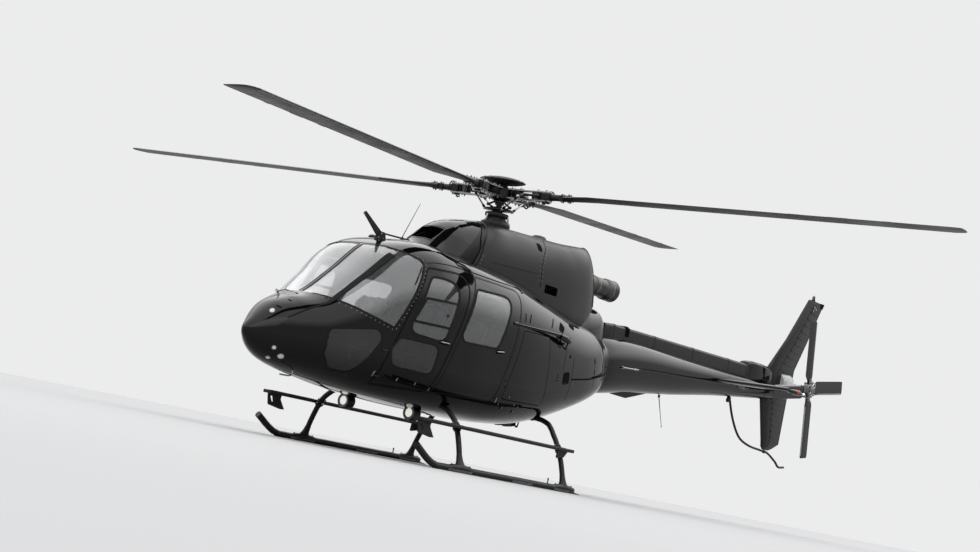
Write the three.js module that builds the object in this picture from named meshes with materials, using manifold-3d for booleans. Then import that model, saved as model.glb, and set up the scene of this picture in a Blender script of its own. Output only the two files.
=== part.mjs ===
// A light single-engine utility helicopter standing on its skids.
//
// Millimetres. +X is port, +Y is aft, +Z is up, the ground is z = 0. Inside this file stations (y)
// count from the rotor mast; the last lines move the whole so that the origin is under its middle.

import * as THREE from 'three';
import { mergeVertices } from 'three/addons/utils/BufferGeometryUtils.js';
import Module from 'manifold-3d';

const wasm = await Module();
wasm.setup();

// Driving dimensions

const MAST_STATION = -1365;                 // the mast, from the middle of the overall length
const WALL = 30;                            // cabin and door wall
const PANEL_GAP = 1;                        // between fixed panels
const DOOR_GAP = 8;                         // round a door that opens
const GLASS = { recess: 3, thickness: 8, gap: 1.5 };

const SEAM = { nose: -2060, tail: 2020 };
const SILL = { y0: -2086, z0: 692, y1: -552, z1: 759 };     // lower edge of the doors, side view
const BULKHEAD = { y: -190, z: 2000, lean: 0.305 };         // leans aft as it rises
const FLOOR = { thickness: 22, drop: 34 };                  // drop: below the sill line

// Angles in degrees: azimuth of the first blade from port, coning, and the mast's forward tilt.
const ROTOR = {
  hubZ: 3035, radius: 5000, azimuth: 13, cone: 1, tilt: 3.5,
  blades: 4, chord: 340, rootChord: 150, thickness: 38,
};
const TAIL_ROTOR = { x: 400, y: 6700, z: 1954, radius: 930, blades: 4, azimuth: 9, chord: 185 };

const SKID = {
  x: 1100, tube: 68, tip: -1830, tipZ: 190, bend: -1520, heel: 865, frontLeg: -1120, rearLeg: 612,
};
const STEP = { x: 1040, width: 128, front: -1830, rear: 700, z: 440, thickness: 36 };

// Body sections: station, half width, height of the widest line, top, bottom, and the power of
// the rounded-box curve above and below the widest line. The first row is the tip of the nose.
const BODY = [
  [-3295, 0, 935, 935, 935, 2, 2],
  [-3205, 120, 945, 1080, 805, 2.1, 1.9],
  [-3060, 250, 953, 1238, 714, 2.35, 1.9],
  [-2880, 382, 956, 1337, 661, 2.5, 1.9],
  [-2640, 517, 962, 1440, 623, 2.85, 1.95],
  [-2300, 655, 969, 1735, 589, 3.15, 2.2],
  [-1970, 776, 973, 2039, 565, 3.6, 2.5],
  [-1600, 888, 984, 2175, 548, 3.6, 2.8],
  [-1150, 940, 984, 2185, 530, 3.25, 2.95],
  [-650, 948, 993, 2182, 525, 3, 2.9],
  [-150, 935, 1002, 2165, 528, 2.75, 2.65],
  [400, 878, 1043, 2101, 572, 2.5, 2.25],
  [900, 802, 1102, 2021, 683, 2.3, 1.9],
  [1300, 722, 1170, 1955, 843, 2.25, 1.9],
  [1600, 625, 1251, 1914, 960, 2.3, 1.9],
  [1850, 489, 1365, 1872, 1066, 2.35, 1.9],
  [2020, 387, 1486, 1828, 1161, 2.4, 2],
];

// Tail boom sections: station, half width, centre height, half height.
const BOOM = [
  [2021, 325, 1495, 328],
  [2300, 330, 1536, 351],
  [3000, 294, 1611, 315],
  [4000, 233, 1673, 248],
  [5000, 169, 1745, 177],
  [6540, 97, 1847, 101],
];
const BOOM_WALL = 12;
// Tail gearbox and end cone sections: station, half width, centre height, half height.
const TAIL_END = [
  [6541, 108, 1934, 172],
  [6565, 116, 1940, 176],
  [6800, 116, 1957, 170],
  [6835, 87, 1893, 88],
  [7180, 64, 1922, 62],
  [7290, 44, 1938, 42],
  [7335, 18, 1945, 17],
];

// Cowl sections: station, half width at the foot, top, power of the rounded-box curve.
const COWL = [
  [-1420, 293, 2161, 2.1],
  [-1250, 374, 2234, 1.95],
  [-1080, 401, 2367, 1.95],
  [-840, 431, 2540, 2.3],
  [-420, 460, 2641, 2.8],
  [0, 470, 2664, 3],
  [500, 460, 2686, 3.25],
  [1000, 424, 2712, 3.35],
  [1400, 359, 2756, 3],
  [1640, 297, 2785, 1.8],
];
// Fairing behind the cowl, under the exhaust: station, half width, top.
const AFT_FAIRING = [
  [1500, 330, 2080],
  [1700, 318, 2140],
  [1950, 265, 2150],
  [2100, 200, 2125],
  [2180, 140, 2070],
  [2216, 90, 2010],
];
const COWL_FOOT = 1960;                     // height from which the cowl's curve is drawn
const COWL_WALL = 12;
// Seams between the cowls in side view: a point of the line and how much it leans aft as it rises.
const COWL_SEAMS = [
  { y: -1197, z: 2221, lean: 1.33 },
  { y: -690, z: 2200, lean: 0.69 },
];

// Side-view outlines: station, height, corner radius.
const FRONT_DOOR = [
  [-2100, 665, 50], [-2110, 880, 150], [-1925, 1460, 300], [-1760, 1905, 90], [-1125, 1950, 190],
  [-1545, 697, 50],
];
const REAR_DOOR = [
  [-1507, 700, 30], [-1075, 1962, 40], [-232, 1965, 110], [-350, 1618, 300], [-608, 748, 60],
];
const WINDSCREEN = [
  [-2950, 1490, 0], [-2062, 1241, 30], [-1886, 1624, 300], [-1770, 1945, 60], [-1960, 2030, 0],
  [-2600, 2500, 0],
];
const WINDSCREEN_POST = 22;                 // half width of the centre post
const CHIN_WINDOW = [
  [-2672, 857, 80], [-2684, 1103, 90], [-2195, 1200, 70], [-2157, 1104, 60], [-2348, 731, 90],
  [-2535, 729, 90],
];
const DOOR_WINDOW = [
  [-1914, 1238, 90], [-1717, 1822, 90], [-1315, 1829, 170], [-1492, 1211, 110],
];
const DOOR_LOWER_WINDOW = [
  [-2050, 1033, 60], [-1986, 1168, 80], [-1527, 1169, 90], [-1574, 873, 90], [-2022, 878, 90],
];
const REAR_WINDOW = [
  [-1297, 1267, 90], [-1072, 1824, 60], [-448, 1850, 110], [-702, 1293, 90],
];
const BAGGAGE_DOOR = [
  [-506, 805, 60], [-277, 1562, 40], [250, 1575, 40], [270, 835, 60],
];
const NOSE_REGION = [
  [-3500, 1645, 0], [-2062, 1241, 0], [-1960, 1200, 0], [SEAM.nose, 950, 0], [SEAM.nose, 300, 0],
  [-3500, 300, 0],
];

// Solids: joining and cutting closed meshes

function toSolid(geometry) {
  const bare = geometry.clone();
  bare.deleteAttribute('normal');
  bare.deleteAttribute('uv');
  const merged = mergeVertices(bare, 1e-3);
  const index = merged.index ? merged.index.array : [...Array(merged.attributes.position.count).keys()];
  return new wasm.Manifold(new wasm.Mesh({
    numProp: 3,
    vertProperties: new Float32Array(merged.attributes.position.array),
    triVerts: new Uint32Array(index),
  }));
}

function toGeometry(solid) {
  const data = solid.getMesh();
  const geometry = new THREE.BufferGeometry();
  geometry.setAttribute('position', new THREE.BufferAttribute(new Float32Array(data.vertProperties), 3));
  geometry.setIndex([...data.triVerts]);
  return geometry;
}

const join = (...solids) => solids.reduce((a, b) => a.add(b));
const cut = (solid, ...tools) => tools.reduce((a, b) => a.subtract(b), solid);

function flipped(geometry, matrix) {
  geometry.applyMatrix4(matrix);
  const order = geometry.index.array;
  for (let i = 0; i < order.length; i += 3) [order[i], order[i + 1]] = [order[i + 1], order[i]];
  return geometry;
}

// Shapes

function box(x0, x1, y0, y1, z0, z1) {
  const geometry = new THREE.BoxGeometry(x1 - x0, y1 - y0, z1 - z0);
  return toSolid(geometry.translate((x0 + x1) / 2, (y0 + y1) / 2, (z0 + z1) / 2));
}

// A rounded outline from corners of [u, v, radius].
function outline(corners) {
  const shape = new THREE.Shape();
  corners.forEach(([u, v, radius], i) => {
    const here = new THREE.Vector2(u, v);
    const toward = (k) => {
      const next = corners[(i + k + corners.length) % corners.length];
      return new THREE.Vector2(next[0], next[1]).sub(here).normalize();
    };
    const back = toward(-1);
    const ahead = toward(1);
    const reach = radius / Math.tan(Math.acos(back.dot(ahead)) / 2);
    const start = here.clone().addScaledVector(back, reach);
    const end = here.clone().addScaledVector(ahead, reach);
    if (i === 0) shape.moveTo(start.x, start.y);
    else shape.lineTo(start.x, start.y);
    if (radius > 0) shape.quadraticCurveTo(here.x, here.y, end.x, end.y);
  });
  return shape;
}

// Moves every side of a convex outline inwards by a distance.
function inset(corners, distance) {
  const area = corners.reduce((sum, [u, v], i) => {
    const [p, q] = corners[(i + 1) % corners.length];
    return sum + u * q - p * v;
  }, 0);
  const turn = Math.sign(area);
  return corners.map(([u, v, radius], i) => {
    const before = corners[(i + corners.length - 1) % corners.length];
    const after = corners[(i + 1) % corners.length];
    const a = new THREE.Vector2(u - before[0], v - before[1]).normalize();
    const b = new THREE.Vector2(after[0] - u, after[1] - v).normalize();
    const na = new THREE.Vector2(-a.y, a.x).multiplyScalar(turn);
    const nb = new THREE.Vector2(-b.y, b.x).multiplyScalar(turn);
    const push = na.clone().add(nb).multiplyScalar(distance / (1 + na.dot(nb)));
    return [u + push.x, v + push.y, Math.max(radius - distance, 0)];
  });
}

// A prism across the aircraft from an outline in side view.
function sidePrism(corners, x0, x1, segments = 3) {
  const geometry = new THREE.ExtrudeGeometry(outline(corners), {
    depth: x1 - x0, bevelEnabled: false, curveSegments: segments,
  });
  const toSide = new THREE.Matrix4().makeBasis(
    new THREE.Vector3(0, 1, 0), new THREE.Vector3(0, 0, 1), new THREE.Vector3(1, 0, 0));
  return toSolid(geometry.applyMatrix4(toSide).translate(x0, 0, 0));
}

// A round bar through points, with the given radius.
function bar(points, radius, steps, sides = 10) {
  const curve = points.length === 2
    ? new THREE.LineCurve3(...points.map((p) => new THREE.Vector3(...p)))
    : new THREE.CatmullRomCurve3(points.map((p) => new THREE.Vector3(...p)), false, 'centripetal');
  const section = new THREE.Shape();
  for (let i = 0; i < sides; i += 1) {
    const angle = (i / sides) * 2 * Math.PI;
    const at = [radius * Math.cos(angle), radius * Math.sin(angle)];
    if (i === 0) section.moveTo(...at);
    else section.lineTo(...at);
  }
  return toSolid(new THREE.ExtrudeGeometry(section, { steps, extrudePath: curve, bevelEnabled: false }));
}

// A turned solid about an axis through a point; the profile is [radius, along].
function turned(profile, axis, at, sides = 16) {
  const geometry = new THREE.LatheGeometry(profile.map((p) => new THREE.Vector2(...p)), sides);
  const rotation = new THREE.Quaternion().setFromUnitVectors(
    new THREE.Vector3(0, 1, 0), new THREE.Vector3(...axis));
  geometry.applyQuaternion(rotation);
  return toSolid(geometry.translate(...at));
}

// A closed skin over rings of points; each end is closed to a point or to the ring's middle.
function skin(rings, firstPoint, lastPoint) {
  const count = rings[0].length;
  const points = [firstPoint, ...rings.flat(), lastPoint];
  const at = (ring, i) => 1 + ring * count + (i % count);
  const faces = [];
  for (let i = 0; i < count; i += 1) {
    faces.push(0, at(0, i + 1), at(0, i));
    for (let ring = 0; ring < rings.length - 1; ring += 1) {
      faces.push(at(ring, i), at(ring, i + 1), at(ring + 1, i));
      faces.push(at(ring, i + 1), at(ring + 1, i + 1), at(ring + 1, i));
    }
    faces.push(at(rings.length - 1, i), at(rings.length - 1, i + 1), points.length - 1);
  }
  const geometry = new THREE.BufferGeometry();
  const flat = points.flatMap((p) => [p.x, p.y, p.z]);
  geometry.setAttribute('position', new THREE.Float32BufferAttribute(flat, 3));
  geometry.setIndex(faces);
  const solid = toSolid(geometry);
  return solid.volume() > 0 ? solid : toSolid(flipped(geometry, new THREE.Matrix4()));
}

// A smooth row between the rows of a table; before the first row the widths mirror.
function rowAt(table, u, roundStart) {
  const i = Math.min(Math.floor(u), table.length - 2);
  const t = u - i;
  const mirror = table[1].map((value, k) => (k === 0 || k > 4 ? value : 2 * table[0][k] - value));
  const before = i > 0 ? table[i - 1] : (roundStart ? mirror : table[0]);
  const after = table[Math.min(i + 2, table.length - 1)];
  return table[i].map((value, k) => {
    const [p, q, r, s] = [before[k], value, table[i + 1][k], after[k]];
    return q + 0.5 * t * (r - p + t * (2 * p - 5 * q + 4 * r - s + t * (3 * (q - r) + s - p)));
  });
}

function roundedBox(angle, halfWidth, middle, top, bottom, upper, lower) {
  const c = Math.cos(angle);
  const s = Math.sin(angle);
  const power = 2 / (s >= 0 ? upper : lower);
  const rise = s >= 0 ? top - middle : middle - bottom;
  return [
    halfWidth * Math.sign(c) * Math.abs(c) ** power,
    middle + rise * Math.sign(s) * Math.abs(s) ** power,
  ];
}

function bodyPoint(u, angle) {
  const [y, w, middle, top, bottom, upper, lower] = rowAt(BODY, u, true);
  const [x, z] = roundedBox(angle, w, middle, top, bottom, upper, lower);
  return new THREE.Vector3(x, y, z);
}

// The body's outer surface moved inwards by a depth along its normal.
const AROUND = 32;                          // points round the body
const STATIONS = [0.45, 1, 1.5, 2, 2.5, 3, 4, 5, 6, 7, 8, 9, 10, 11, 12, 13, 14, 15, 16];

function bodySkin(depth) {
  const tiny = 0.01;
  const rings = STATIONS.map((u) => {
    const ring = [];
    for (let i = 0; i < AROUND; i += 1) {
      const angle = ((i + 0.5) / AROUND) * 2 * Math.PI;
      const along = bodyPoint(Math.min(u + tiny, 16), angle).sub(bodyPoint(u - tiny, angle));
      const round = bodyPoint(u, angle + tiny).sub(bodyPoint(u, angle - tiny));
      const normal = round.cross(along).normalize();
      ring.push(bodyPoint(u, angle).addScaledVector(normal, depth));
    }
    return ring;
  });
  const first = new THREE.Vector3(0, BODY[0][0] + depth, BODY[0][2]);
  const last = rings.at(-1).reduce((sum, p) => sum.add(p), new THREE.Vector3()).divideScalar(AROUND);
  return skin(rings, first, last);
}

// A loft of rounded boxes; each row gives station, half width, middle, top, bottom, powers.
function loft(rows, count) {
  const rings = rows.map(([y, w, middle, top, bottom, upper, lower]) => {
    const ring = [];
    for (let i = 0; i < count; i += 1) {
      const [x, z] = roundedBox(((i + 0.5) / count) * 2 * Math.PI, w, middle, top, bottom, upper, lower);
      ring.push(new THREE.Vector3(x, y, z));
    }
    return ring;
  });
  const centre = (row) => new THREE.Vector3(0, row[0], row[2]);
  return skin(rings, centre(rows[0]), centre(rows.at(-1)));
}

// Colours

const paint = (color, roughness, metalness = 0) =>
  new THREE.MeshStandardMaterial({ color, roughness, metalness });
const GLOSS_BLACK = paint(0x0b0b0c, 0.12);
const SATIN_GREY = paint(0x2b2c2d, 0.5);
const GLAZING = new THREE.MeshStandardMaterial({
  color: 0x6f7577, roughness: 0.05, transparent: true, opacity: 0.35,
});
const STEEL = paint(0x55575a, 0.35, 0.9);
const BLADE_GREY = paint(0x1d1e20, 0.45);
const TRIM = paint(0x151515, 0.8);
const FABRIC = paint(0x3a3a3c, 0.95);
const LENS = paint(0xf4f2ea, 0.1);

const helicopter = new THREE.Group();
helicopter.position.set(0, MAST_STATION, 0);

function add(name, solid, material, parent = helicopter) {
  const mesh = new THREE.Mesh(toGeometry(solid), material);
  mesh.name = name;
  parent.add(mesh);
  return mesh;
}

const SIDES = [['port', 1], ['starboard', -1]];
const REACH = 1300;                         // half width of the tools that cut the body
const across = [-REACH, REACH];
const oneSide = (side) => (side > 0 ? [0, REACH] : [-REACH, 0]);

// Body shell and its panels

const outer = bodySkin(0);
const inner = bodySkin(WALL);
const glassBand = cut(bodySkin(GLASS.recess), bodySkin(GLASS.recess + GLASS.thickness));
const shell = cut(outer, inner);

const sillZ = (y) => SILL.z0 + ((SILL.z1 - SILL.z0) * (y - SILL.y0)) / (SILL.y1 - SILL.y0);
const under = (drop, y0, y1) => sidePrism(
  [[y0, 200, 0], [y0, sillZ(y0) - drop, 0], [y1, sillZ(y1) - drop, 0], [y1, 200, 0]], ...across);

function aheadOfBulkhead(gap) {
  const [low, high] = [200, 2500];
  const at = (z) => BULKHEAD.y - (BULKHEAD.z - z) * BULKHEAD.lean - gap;
  return sidePrism([[-3500, low, 0], [-3500, high, 0], [at(high), high, 0], [at(low), low, 0]], ...across);
}

const windscreenHole = sidePrism(WINDSCREEN, ...across);
const centrePost = box(-WINDSCREEN_POST, WINDSCREEN_POST, -3300, -1500, 1200, 2400);
const doorHoles = SIDES.flatMap(([, side]) => [
  sidePrism(FRONT_DOOR, ...oneSide(side)),
  sidePrism(REAR_DOOR, ...oneSide(side)),
]);
const chinHoles = SIDES.map(([, side]) => sidePrism(CHIN_WINDOW, ...oneSide(side)));

const tubeRoom = (i) => crossTube(LEGS[i][1], LEGS[i][2], TUBE + PANEL_GAP);

function buildShell() {
  const nose = sidePrism(NOSE_REGION, ...across);
  add('nose_shell', cut(shell.intersect(nose), ...doorHoles, ...chinHoles), GLOSS_BLACK);

  const cabinLength = aheadOfBulkhead(PANEL_GAP);
  const noseCleared = sidePrism(inset(NOSE_REGION, -PANEL_GAP), ...across);
  const below = under(0, SEAM.nose - 200, 0);
  add('cabin_canopy', cut(shell.intersect(cabinLength), noseCleared, below, ...doorHoles,
    cut(windscreenHole, centrePost)), GLOSS_BLACK);

  const bellyLength = under(PANEL_GAP, SEAM.nose + PANEL_GAP, 0).intersect(cabinLength);
  add('belly_shell', cut(shell.intersect(bellyLength), ...doorHoles, tubeRoom(0)), GLOSS_BLACK);

  const floorTop = under(FLOOR.drop, SEAM.nose + 20, 0).intersect(cabinLength);
  const floorUnder = under(FLOOR.drop + FLOOR.thickness, SEAM.nose - 20, 20);
  add('cabin_floor', cut(bodySkin(WALL + 1), floorUnder).intersect(floorTop), SATIN_GREY);
}

function buildRearFuselage() {
  const length = cut(box(...across, -900, SEAM.tail - PANEL_GAP, 200, 2500), aheadOfBulkhead(0));
  const hollow = cut(box(...across, -900, SEAM.tail - 150, 200, 2500), aheadOfBulkhead(-WALL));
  const holes = SIDES.map(([, side]) => sidePrism(BAGGAGE_DOOR, ...oneSide(side)));
  const rails = SIDES.map(([, side]) => bar(
    [[side * 886, -290, 1600], [side * 878, 50, 1612], [side * 852, 440, 1622]], 16, 6, 8));
  const fairings = SIDES.map(([, side]) => bar(
    [[side * 858, 400, 1612], [side * 845, 570, 1590]], 34, 1, 8));
  const hull = cut(outer.intersect(length), inner.intersect(hollow), ...holes, tubeRoom(1));
  add('rear_fuselage', join(hull, ...rails, ...fairings), GLOSS_BLACK);
}

function buildGlazing() {
  for (const [name, side] of SIDES) {
    const half = oneSide(side);
    const pane = (corners, reach) => glassBand.intersect(sidePrism(inset(corners, GLASS.gap), ...reach));
    const edge = WINDSCREEN_POST + GLASS.gap;
    const clearOfPost = box(...(side > 0 ? [edge, REACH] : [-REACH, -edge]), -3300, -1500, 900, 2400);
    add(`windscreen_${name}`, pane(WINDSCREEN, across).intersect(clearOfPost), GLAZING);
    add(`chin_window_${name}`, pane(CHIN_WINDOW, half), GLAZING);
  }
}

// Doors

function handle(side, y, z, x) {
  return box(...(side > 0 ? [x - 20, x + 22] : [-x - 22, -x + 20]), y - 60, y + 60, z - 12, z + 12);
}

function buildDoors() {
  for (const [name, side] of SIDES) {
    const half = oneSide(side);
    const pane = (corners) => glassBand.intersect(sidePrism(inset(corners, GLASS.gap), ...half));
    const front = shell.intersect(sidePrism(inset(FRONT_DOOR, DOOR_GAP), ...half));
    const frontHoles = [DOOR_WINDOW, DOOR_LOWER_WINDOW].map((corners) => sidePrism(corners, ...half));
    add(`front_door_${name}`, join(cut(front, ...frontHoles), handle(side, -1490, 1200, 905)), GLOSS_BLACK);
    add(`door_window_${name}`, pane(DOOR_WINDOW), GLAZING);
    add(`door_lower_window_${name}`, pane(DOOR_LOWER_WINDOW), GLAZING);

    const rear = shell.intersect(sidePrism(inset(REAR_DOOR, PANEL_GAP * 3), ...half));
    add(`rear_door_${name}`, join(cut(rear, sidePrism(REAR_WINDOW, ...half)), handle(side, -650, 1262, 926),
      handle(side, -450, 1596, 886)), GLOSS_BLACK);
    add(`rear_window_${name}`, pane(REAR_WINDOW), GLAZING);

    const baggage = shell.intersect(sidePrism(inset(BAGGAGE_DOOR, DOOR_GAP), ...half));
    add(`baggage_door_${name}`, baggage, GLOSS_BLACK);
  }
}

// Cabin furniture, seen through the glass

const SEAT = { x: 420, width: 480, front: -1750, back: -1290 };

function buildCabin() {
  const floor = under(FLOOR.drop - PANEL_GAP, SEAM.nose, 0);
  const room = cut(bodySkin(WALL + 2).intersect(aheadOfBulkhead(3)), floor);
  const { front, back } = SEAT;
  const seatSide = [
    [front, 960, 40], [front + 20, 1070, 40], [back - 60, 1040, 20], [back + 60, 1640, 40],
    [back + 150, 1630, 40], [back + 60, 940, 40], [back - 20, 650, 0], [front + 120, 650, 0],
  ];
  for (const [name, side] of SIDES) {
    const x = side * SEAT.x;
    const seat = sidePrism(seatSide, x - SEAT.width / 2, x + SEAT.width / 2);
    add(`front_seat_${name}`, seat.intersect(room), FABRIC);
  }
  const benchSide = [
    [-1010, 960, 40], [-1000, 1060, 40], [-600, 1030, 20], [-450, 1600, 40],
    [-345, 1600, 20], [-570, 800, 0], [-580, 690, 0], [-930, 690, 0],
  ];
  add('rear_bench', sidePrism(benchSide, -600, 600).intersect(room), FABRIC);
  const panelSide = [
    [-2440, 1010, 40], [-2430, 1230, 60], [-2260, 1320, 30], [-2200, 1130, 20], [-2080, 860, 40],
    [-2080, 630, 0], [-2140, 630, 0],
  ];
  add('instrument_panel', sidePrism(panelSide, -260, 260).intersect(room), TRIM);
}

// Roof and power plant

function cowlRows(shrink) {
  const low = COWL_FOOT - 300;
  return COWL.map(([y, w, top, power]) => [y, w - shrink, COWL_FOOT, top - shrink, low, power, 2]);
}

function aheadOfCowlSeam(i, gap) {
  const [front, rear, low, high] = [-1600, 2600, 1500, 3200];
  if (i < 0) return box(...across, front - 10, front, low, high);
  const seam = COWL_SEAMS[i];
  const at = (z) => (seam ? seam.y + (z - seam.z) * seam.lean + gap : rear);
  const foot = Math.max(at(low), front + 1);
  return sidePrism([[front, low, 0], [front, high, 0], [at(high), high, 0], [foot, low, 0]], ...across);
}

const INLET = [[-1222, 2332, 10], [-1022, 2483, 10], [-942, 2380, 10], [-1142, 2230, 10]];
const INLET_HALF = 165;                      // half width of the intake opening
const COWL_HEEL = [[1345, 1780, 0], [1650, 2100, 0], [1700, 2100, 0], [1700, 1780, 0]];
const COWL_VENT = [[485, 2070, 25], [485, 2165, 25], [735, 2165, 25], [735, 2070, 25]];
const ENGINE = [-210, 210, 640, 1420, 2150, 2580];
// Exhaust pipe and the hole through it: radius and station, about a line at this height.
const EXHAUST_Z = 2412;
const EXHAUST_PIPE = [[0, 1640], [112, 1640], [112, 2160], [126, 2170], [126, 2330], [0, 2330]];
const EXHAUST_BORE = [[0, 1700], [102, 1700], [102, 2175], [118, 2185], [118, 2340], [0, 2340]];
// Mast boot: radius and height over its base.
const BOOT_Z = 2690;
const BOOT = [
  [0, -20], [165, -20], [160, 10], [110, 60], [100, 75], [128, 82], [128, 118], [60, 130], [48, 190],
  [0, 190],
];

function buildPower() {
  const roofCleared = bodySkin(-PANEL_GAP);
  const cowl = cut(loft(cowlRows(0), 24), roofCleared);
  const cowlCleared = cut(loft(cowlRows(-PANEL_GAP), 24), sidePrism(inset(COWL_HEEL, PANEL_GAP), ...across));
  const inside = cowlRows(COWL_WALL);
  const openEnd = [COWL.at(-1)[0] + 5, ...inside.at(-1).slice(1)];
  const hollow = cut(loft([...inside, openEnd], 24), box(...across, -1500, -1300, 0, 3000));
  const skinned = cut(cowl, hollow);
  const inlet = sidePrism(INLET, -INLET_HALF, INLET_HALF);
  const names = ['intake_cowl', 'main_cowl', 'engine_cowl'];
  const ventHoles = sidePrism(COWL_VENT, ...across);
  const heelCut = sidePrism(COWL_HEEL, ...across);
  const mastHole = turned([[0, -200], [120, -200], [120, 200], [0, 200]], [0, 0, 1], [0, 0, 2700]);
  names.forEach((name, i) => {
    const length = cut(aheadOfCowlSeam(i, 0), aheadOfCowlSeam(i - 1, PANEL_GAP));
    const tools = [[inlet], [], [mastHole, ventHoles, heelCut]][i];
    add(name, cut(skinned.intersect(length), ...tools), i === 0 ? GLOSS_BLACK : SATIN_GREY);
  });

  const hump = loft(AFT_FAIRING.map(([y, w, top]) => [y, w, 1700, top, 1600, 2.2, 2]), 24);
  const boomRoom = loft(tubeRows(BOOM, -PANEL_GAP), 24);
  add('aft_fairing', cut(hump, roofCleared, cowlCleared, boomRoom), GLOSS_BLACK);

  add('engine_block', box(...ENGINE), STEEL);
  const alongPipe = (profile) => turned(profile, [0, 1, 0], [0, 0, EXHAUST_Z], 20);
  add('exhaust_pipe', cut(alongPipe(EXHAUST_PIPE), alongPipe(EXHAUST_BORE)), STEEL);

  const boot = turned(BOOT, [0, 0, 1], [0, 0, BOOT_Z]);
  add('mast_boot', cut(boot, loft(cowlRows(-PANEL_GAP), 24)), TRIM);
}

// Tail

function tubeRows(table, shrink) {
  return table.map(([y, w, middle, half]) => {
    const height = half - shrink;
    return [y, w - shrink, middle, middle + height, middle - height, 2, 2];
  });
}

const STABILIZER = { lead: 4620, trail: 5000, z: 1752, half: 1265 };
// Fins in side view, root to tip: height, leading edge, trailing edge, greatest thickness.
const UPPER_FIN = [
  [1900, 6165, 6925, 92],
  [2100, 6168, 6925, 90],
  [2210, 6258, 6930, 86],
  [2600, 6577, 7128, 76],
  [3195, 6977, 7412, 60],
  [3232, 7000, 7430, 40],
];
const LOWER_FIN = [
  [1800, 6120, 6866, 80],
  [1165, 6368, 6850, 60],
  [1085, 6395, 6690, 54],
  [1050, 6440, 6600, 40],
];

const SHAFT_COVER = {
  half: 85,
  wall: 10,
  side: [
    [2225, 1700, 0], [2225, 2036, 40], [2420, 2046, 20], [5600, 2086, 20], [6150, 2086, 30], [6150, 1800, 0],
  ],
};
// Stabilizer tip fairing and tail rotor output shaft: radius and distance along.
const TIP_FAIRING = [[0, -190], [16, -150], [32, -40], [33, 60], [20, 160], [0, 230]];
const OUTPUT_SHAFT = [[0, 0], [105, 0], [105, 100], [62, 160], [52, 280], [0, 280]];
const TAIL_GUARD = {
  radius: 16,
  points: [
    [0, 5360, 1640], [0, 5550, 1349], [0, 5785, 1134], [0, 6065, 1053], [0, 6395, 1030], [0, 6586, 1018],
    [0, 6828, 931], [0, 6951, 867], [0, 7097, 878],
  ],
};

function fin(rows) {
  const rings = rows.map(([z, lead, trail, thickness]) => aerofoil(lead, trail, 0, thickness)
    .map(([y, x]) => new THREE.Vector3(x, y, z)));
  const centre = ([z, lead, trail]) => new THREE.Vector3(0, (lead + trail) / 2, z);
  return skin(rings, centre(rows[0]), centre(rows.at(-1)));
}

function aerofoil(lead, trail, z, thickness) {
  const [nose, thickest] = [0.08, 0.3].map((part) => lead + part * (trail - lead));
  return [
    [lead, z, 0], [nose, z + 0.42 * thickness, 0], [thickest, z + 0.5 * thickness, 0], [trail, z + 3, 0],
    [trail, z - 3, 0], [thickest, z - 0.5 * thickness, 0], [nose, z - 0.42 * thickness, 0],
  ];
}

function buildTail() {
  const { lead, trail, z, half } = STABILIZER;
  const slot = sidePrism(inset(aerofoil(lead, trail, z, 62), -1), ...across);
  const inside = tubeRows(BOOM, BOOM_WALL);
  const bore = loft([[BOOM[0][0] - 10, ...inside[0].slice(1)], ...inside.slice(1, -1),
    [BOOM.at(-1)[0] - 40, ...inside.at(-1).slice(1)]], 24);
  add('tail_boom', cut(loft(tubeRows(BOOM, 0), 24), bore, slot), GLOSS_BLACK);
  const fairing = (side) => turned(TIP_FAIRING, [0, 1, 0], [side * half, (lead + trail) / 2, z - 12], 12);
  const plane = sidePrism(aerofoil(lead, trail, z, 60), -half, half);
  add('stabilizer', join(plane, fairing(1), fairing(-1)), GLOSS_BLACK);

  const boomCleared = join(loft(tubeRows(BOOM, -1), 24), loft(tubeRows(TAIL_END, -1), 24));
  const { half: coverHalf, wall, side: coverSide } = SHAFT_COVER;
  const tunnel = sidePrism(inset(coverSide, wall), wall - coverHalf, coverHalf - wall);
  const cover = cut(sidePrism(coverSide, -coverHalf, coverHalf), tunnel, boomCleared, bodySkin(-1));
  add('driveshaft_cover', cover, SATIN_GREY);

  add('upper_fin', cut(fin(UPPER_FIN), boomCleared), GLOSS_BLACK);
  add('lower_fin', cut(fin(LOWER_FIN), boomCleared), GLOSS_BLACK);
  const outputShaft = turned(OUTPUT_SHAFT, [1, 0, 0], [5, TAIL_ROTOR.y, TAIL_ROTOR.z]);
  add('tail_gearbox', join(loft(tubeRows(TAIL_END, 0), 24), outputShaft), SATIN_GREY);
  const guard = bar(TAIL_GUARD.points, TAIL_GUARD.radius, 16, 6);
  add('tail_skid', cut(guard, boomCleared), TRIM);
}

// Landing gear

const TUBE = 28;                            // radius of a cross tube
const SOLE = 4;                             // worn flat under the skid tube
// Cross tubes: name, station, and the half arch outwards as [distance from the middle, height].
const LEGS = [
  ['front', SKID.frontLeg, [
    [0, 632], [560, 632], [754, 600], [838, 558], [920, 486], [975, 392], [1028, 259], [1068, 133],
    [1100, 60],
  ]],
  ['rear', SKID.rearLeg, [
    [0, 722], [550, 722], [730, 690], [800, 640], [846, 582], [903, 508], [965, 405], [1020, 290],
    [1070, 150], [1100, 60],
  ]],
];

// Plates that hang under the front and rear of each step board, in side view
const STEP_PLATES = [
  [[-1815, 440, 0], [-1782, 308, 20], [-1600, 282, 20], [-1540, 285, 4], [-1625, 390, 40], [-1600, 440, 0]],
  [[483, 440, 0], [471, 335, 20], [600, 360, 20], [670, 440, 0]],
];
const STEP_PLATE_EYE = [[-1775, 400, 8], [-1738, 400, 10], [-1715, 345, 10], [-1735, 338, 8]];

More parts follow.
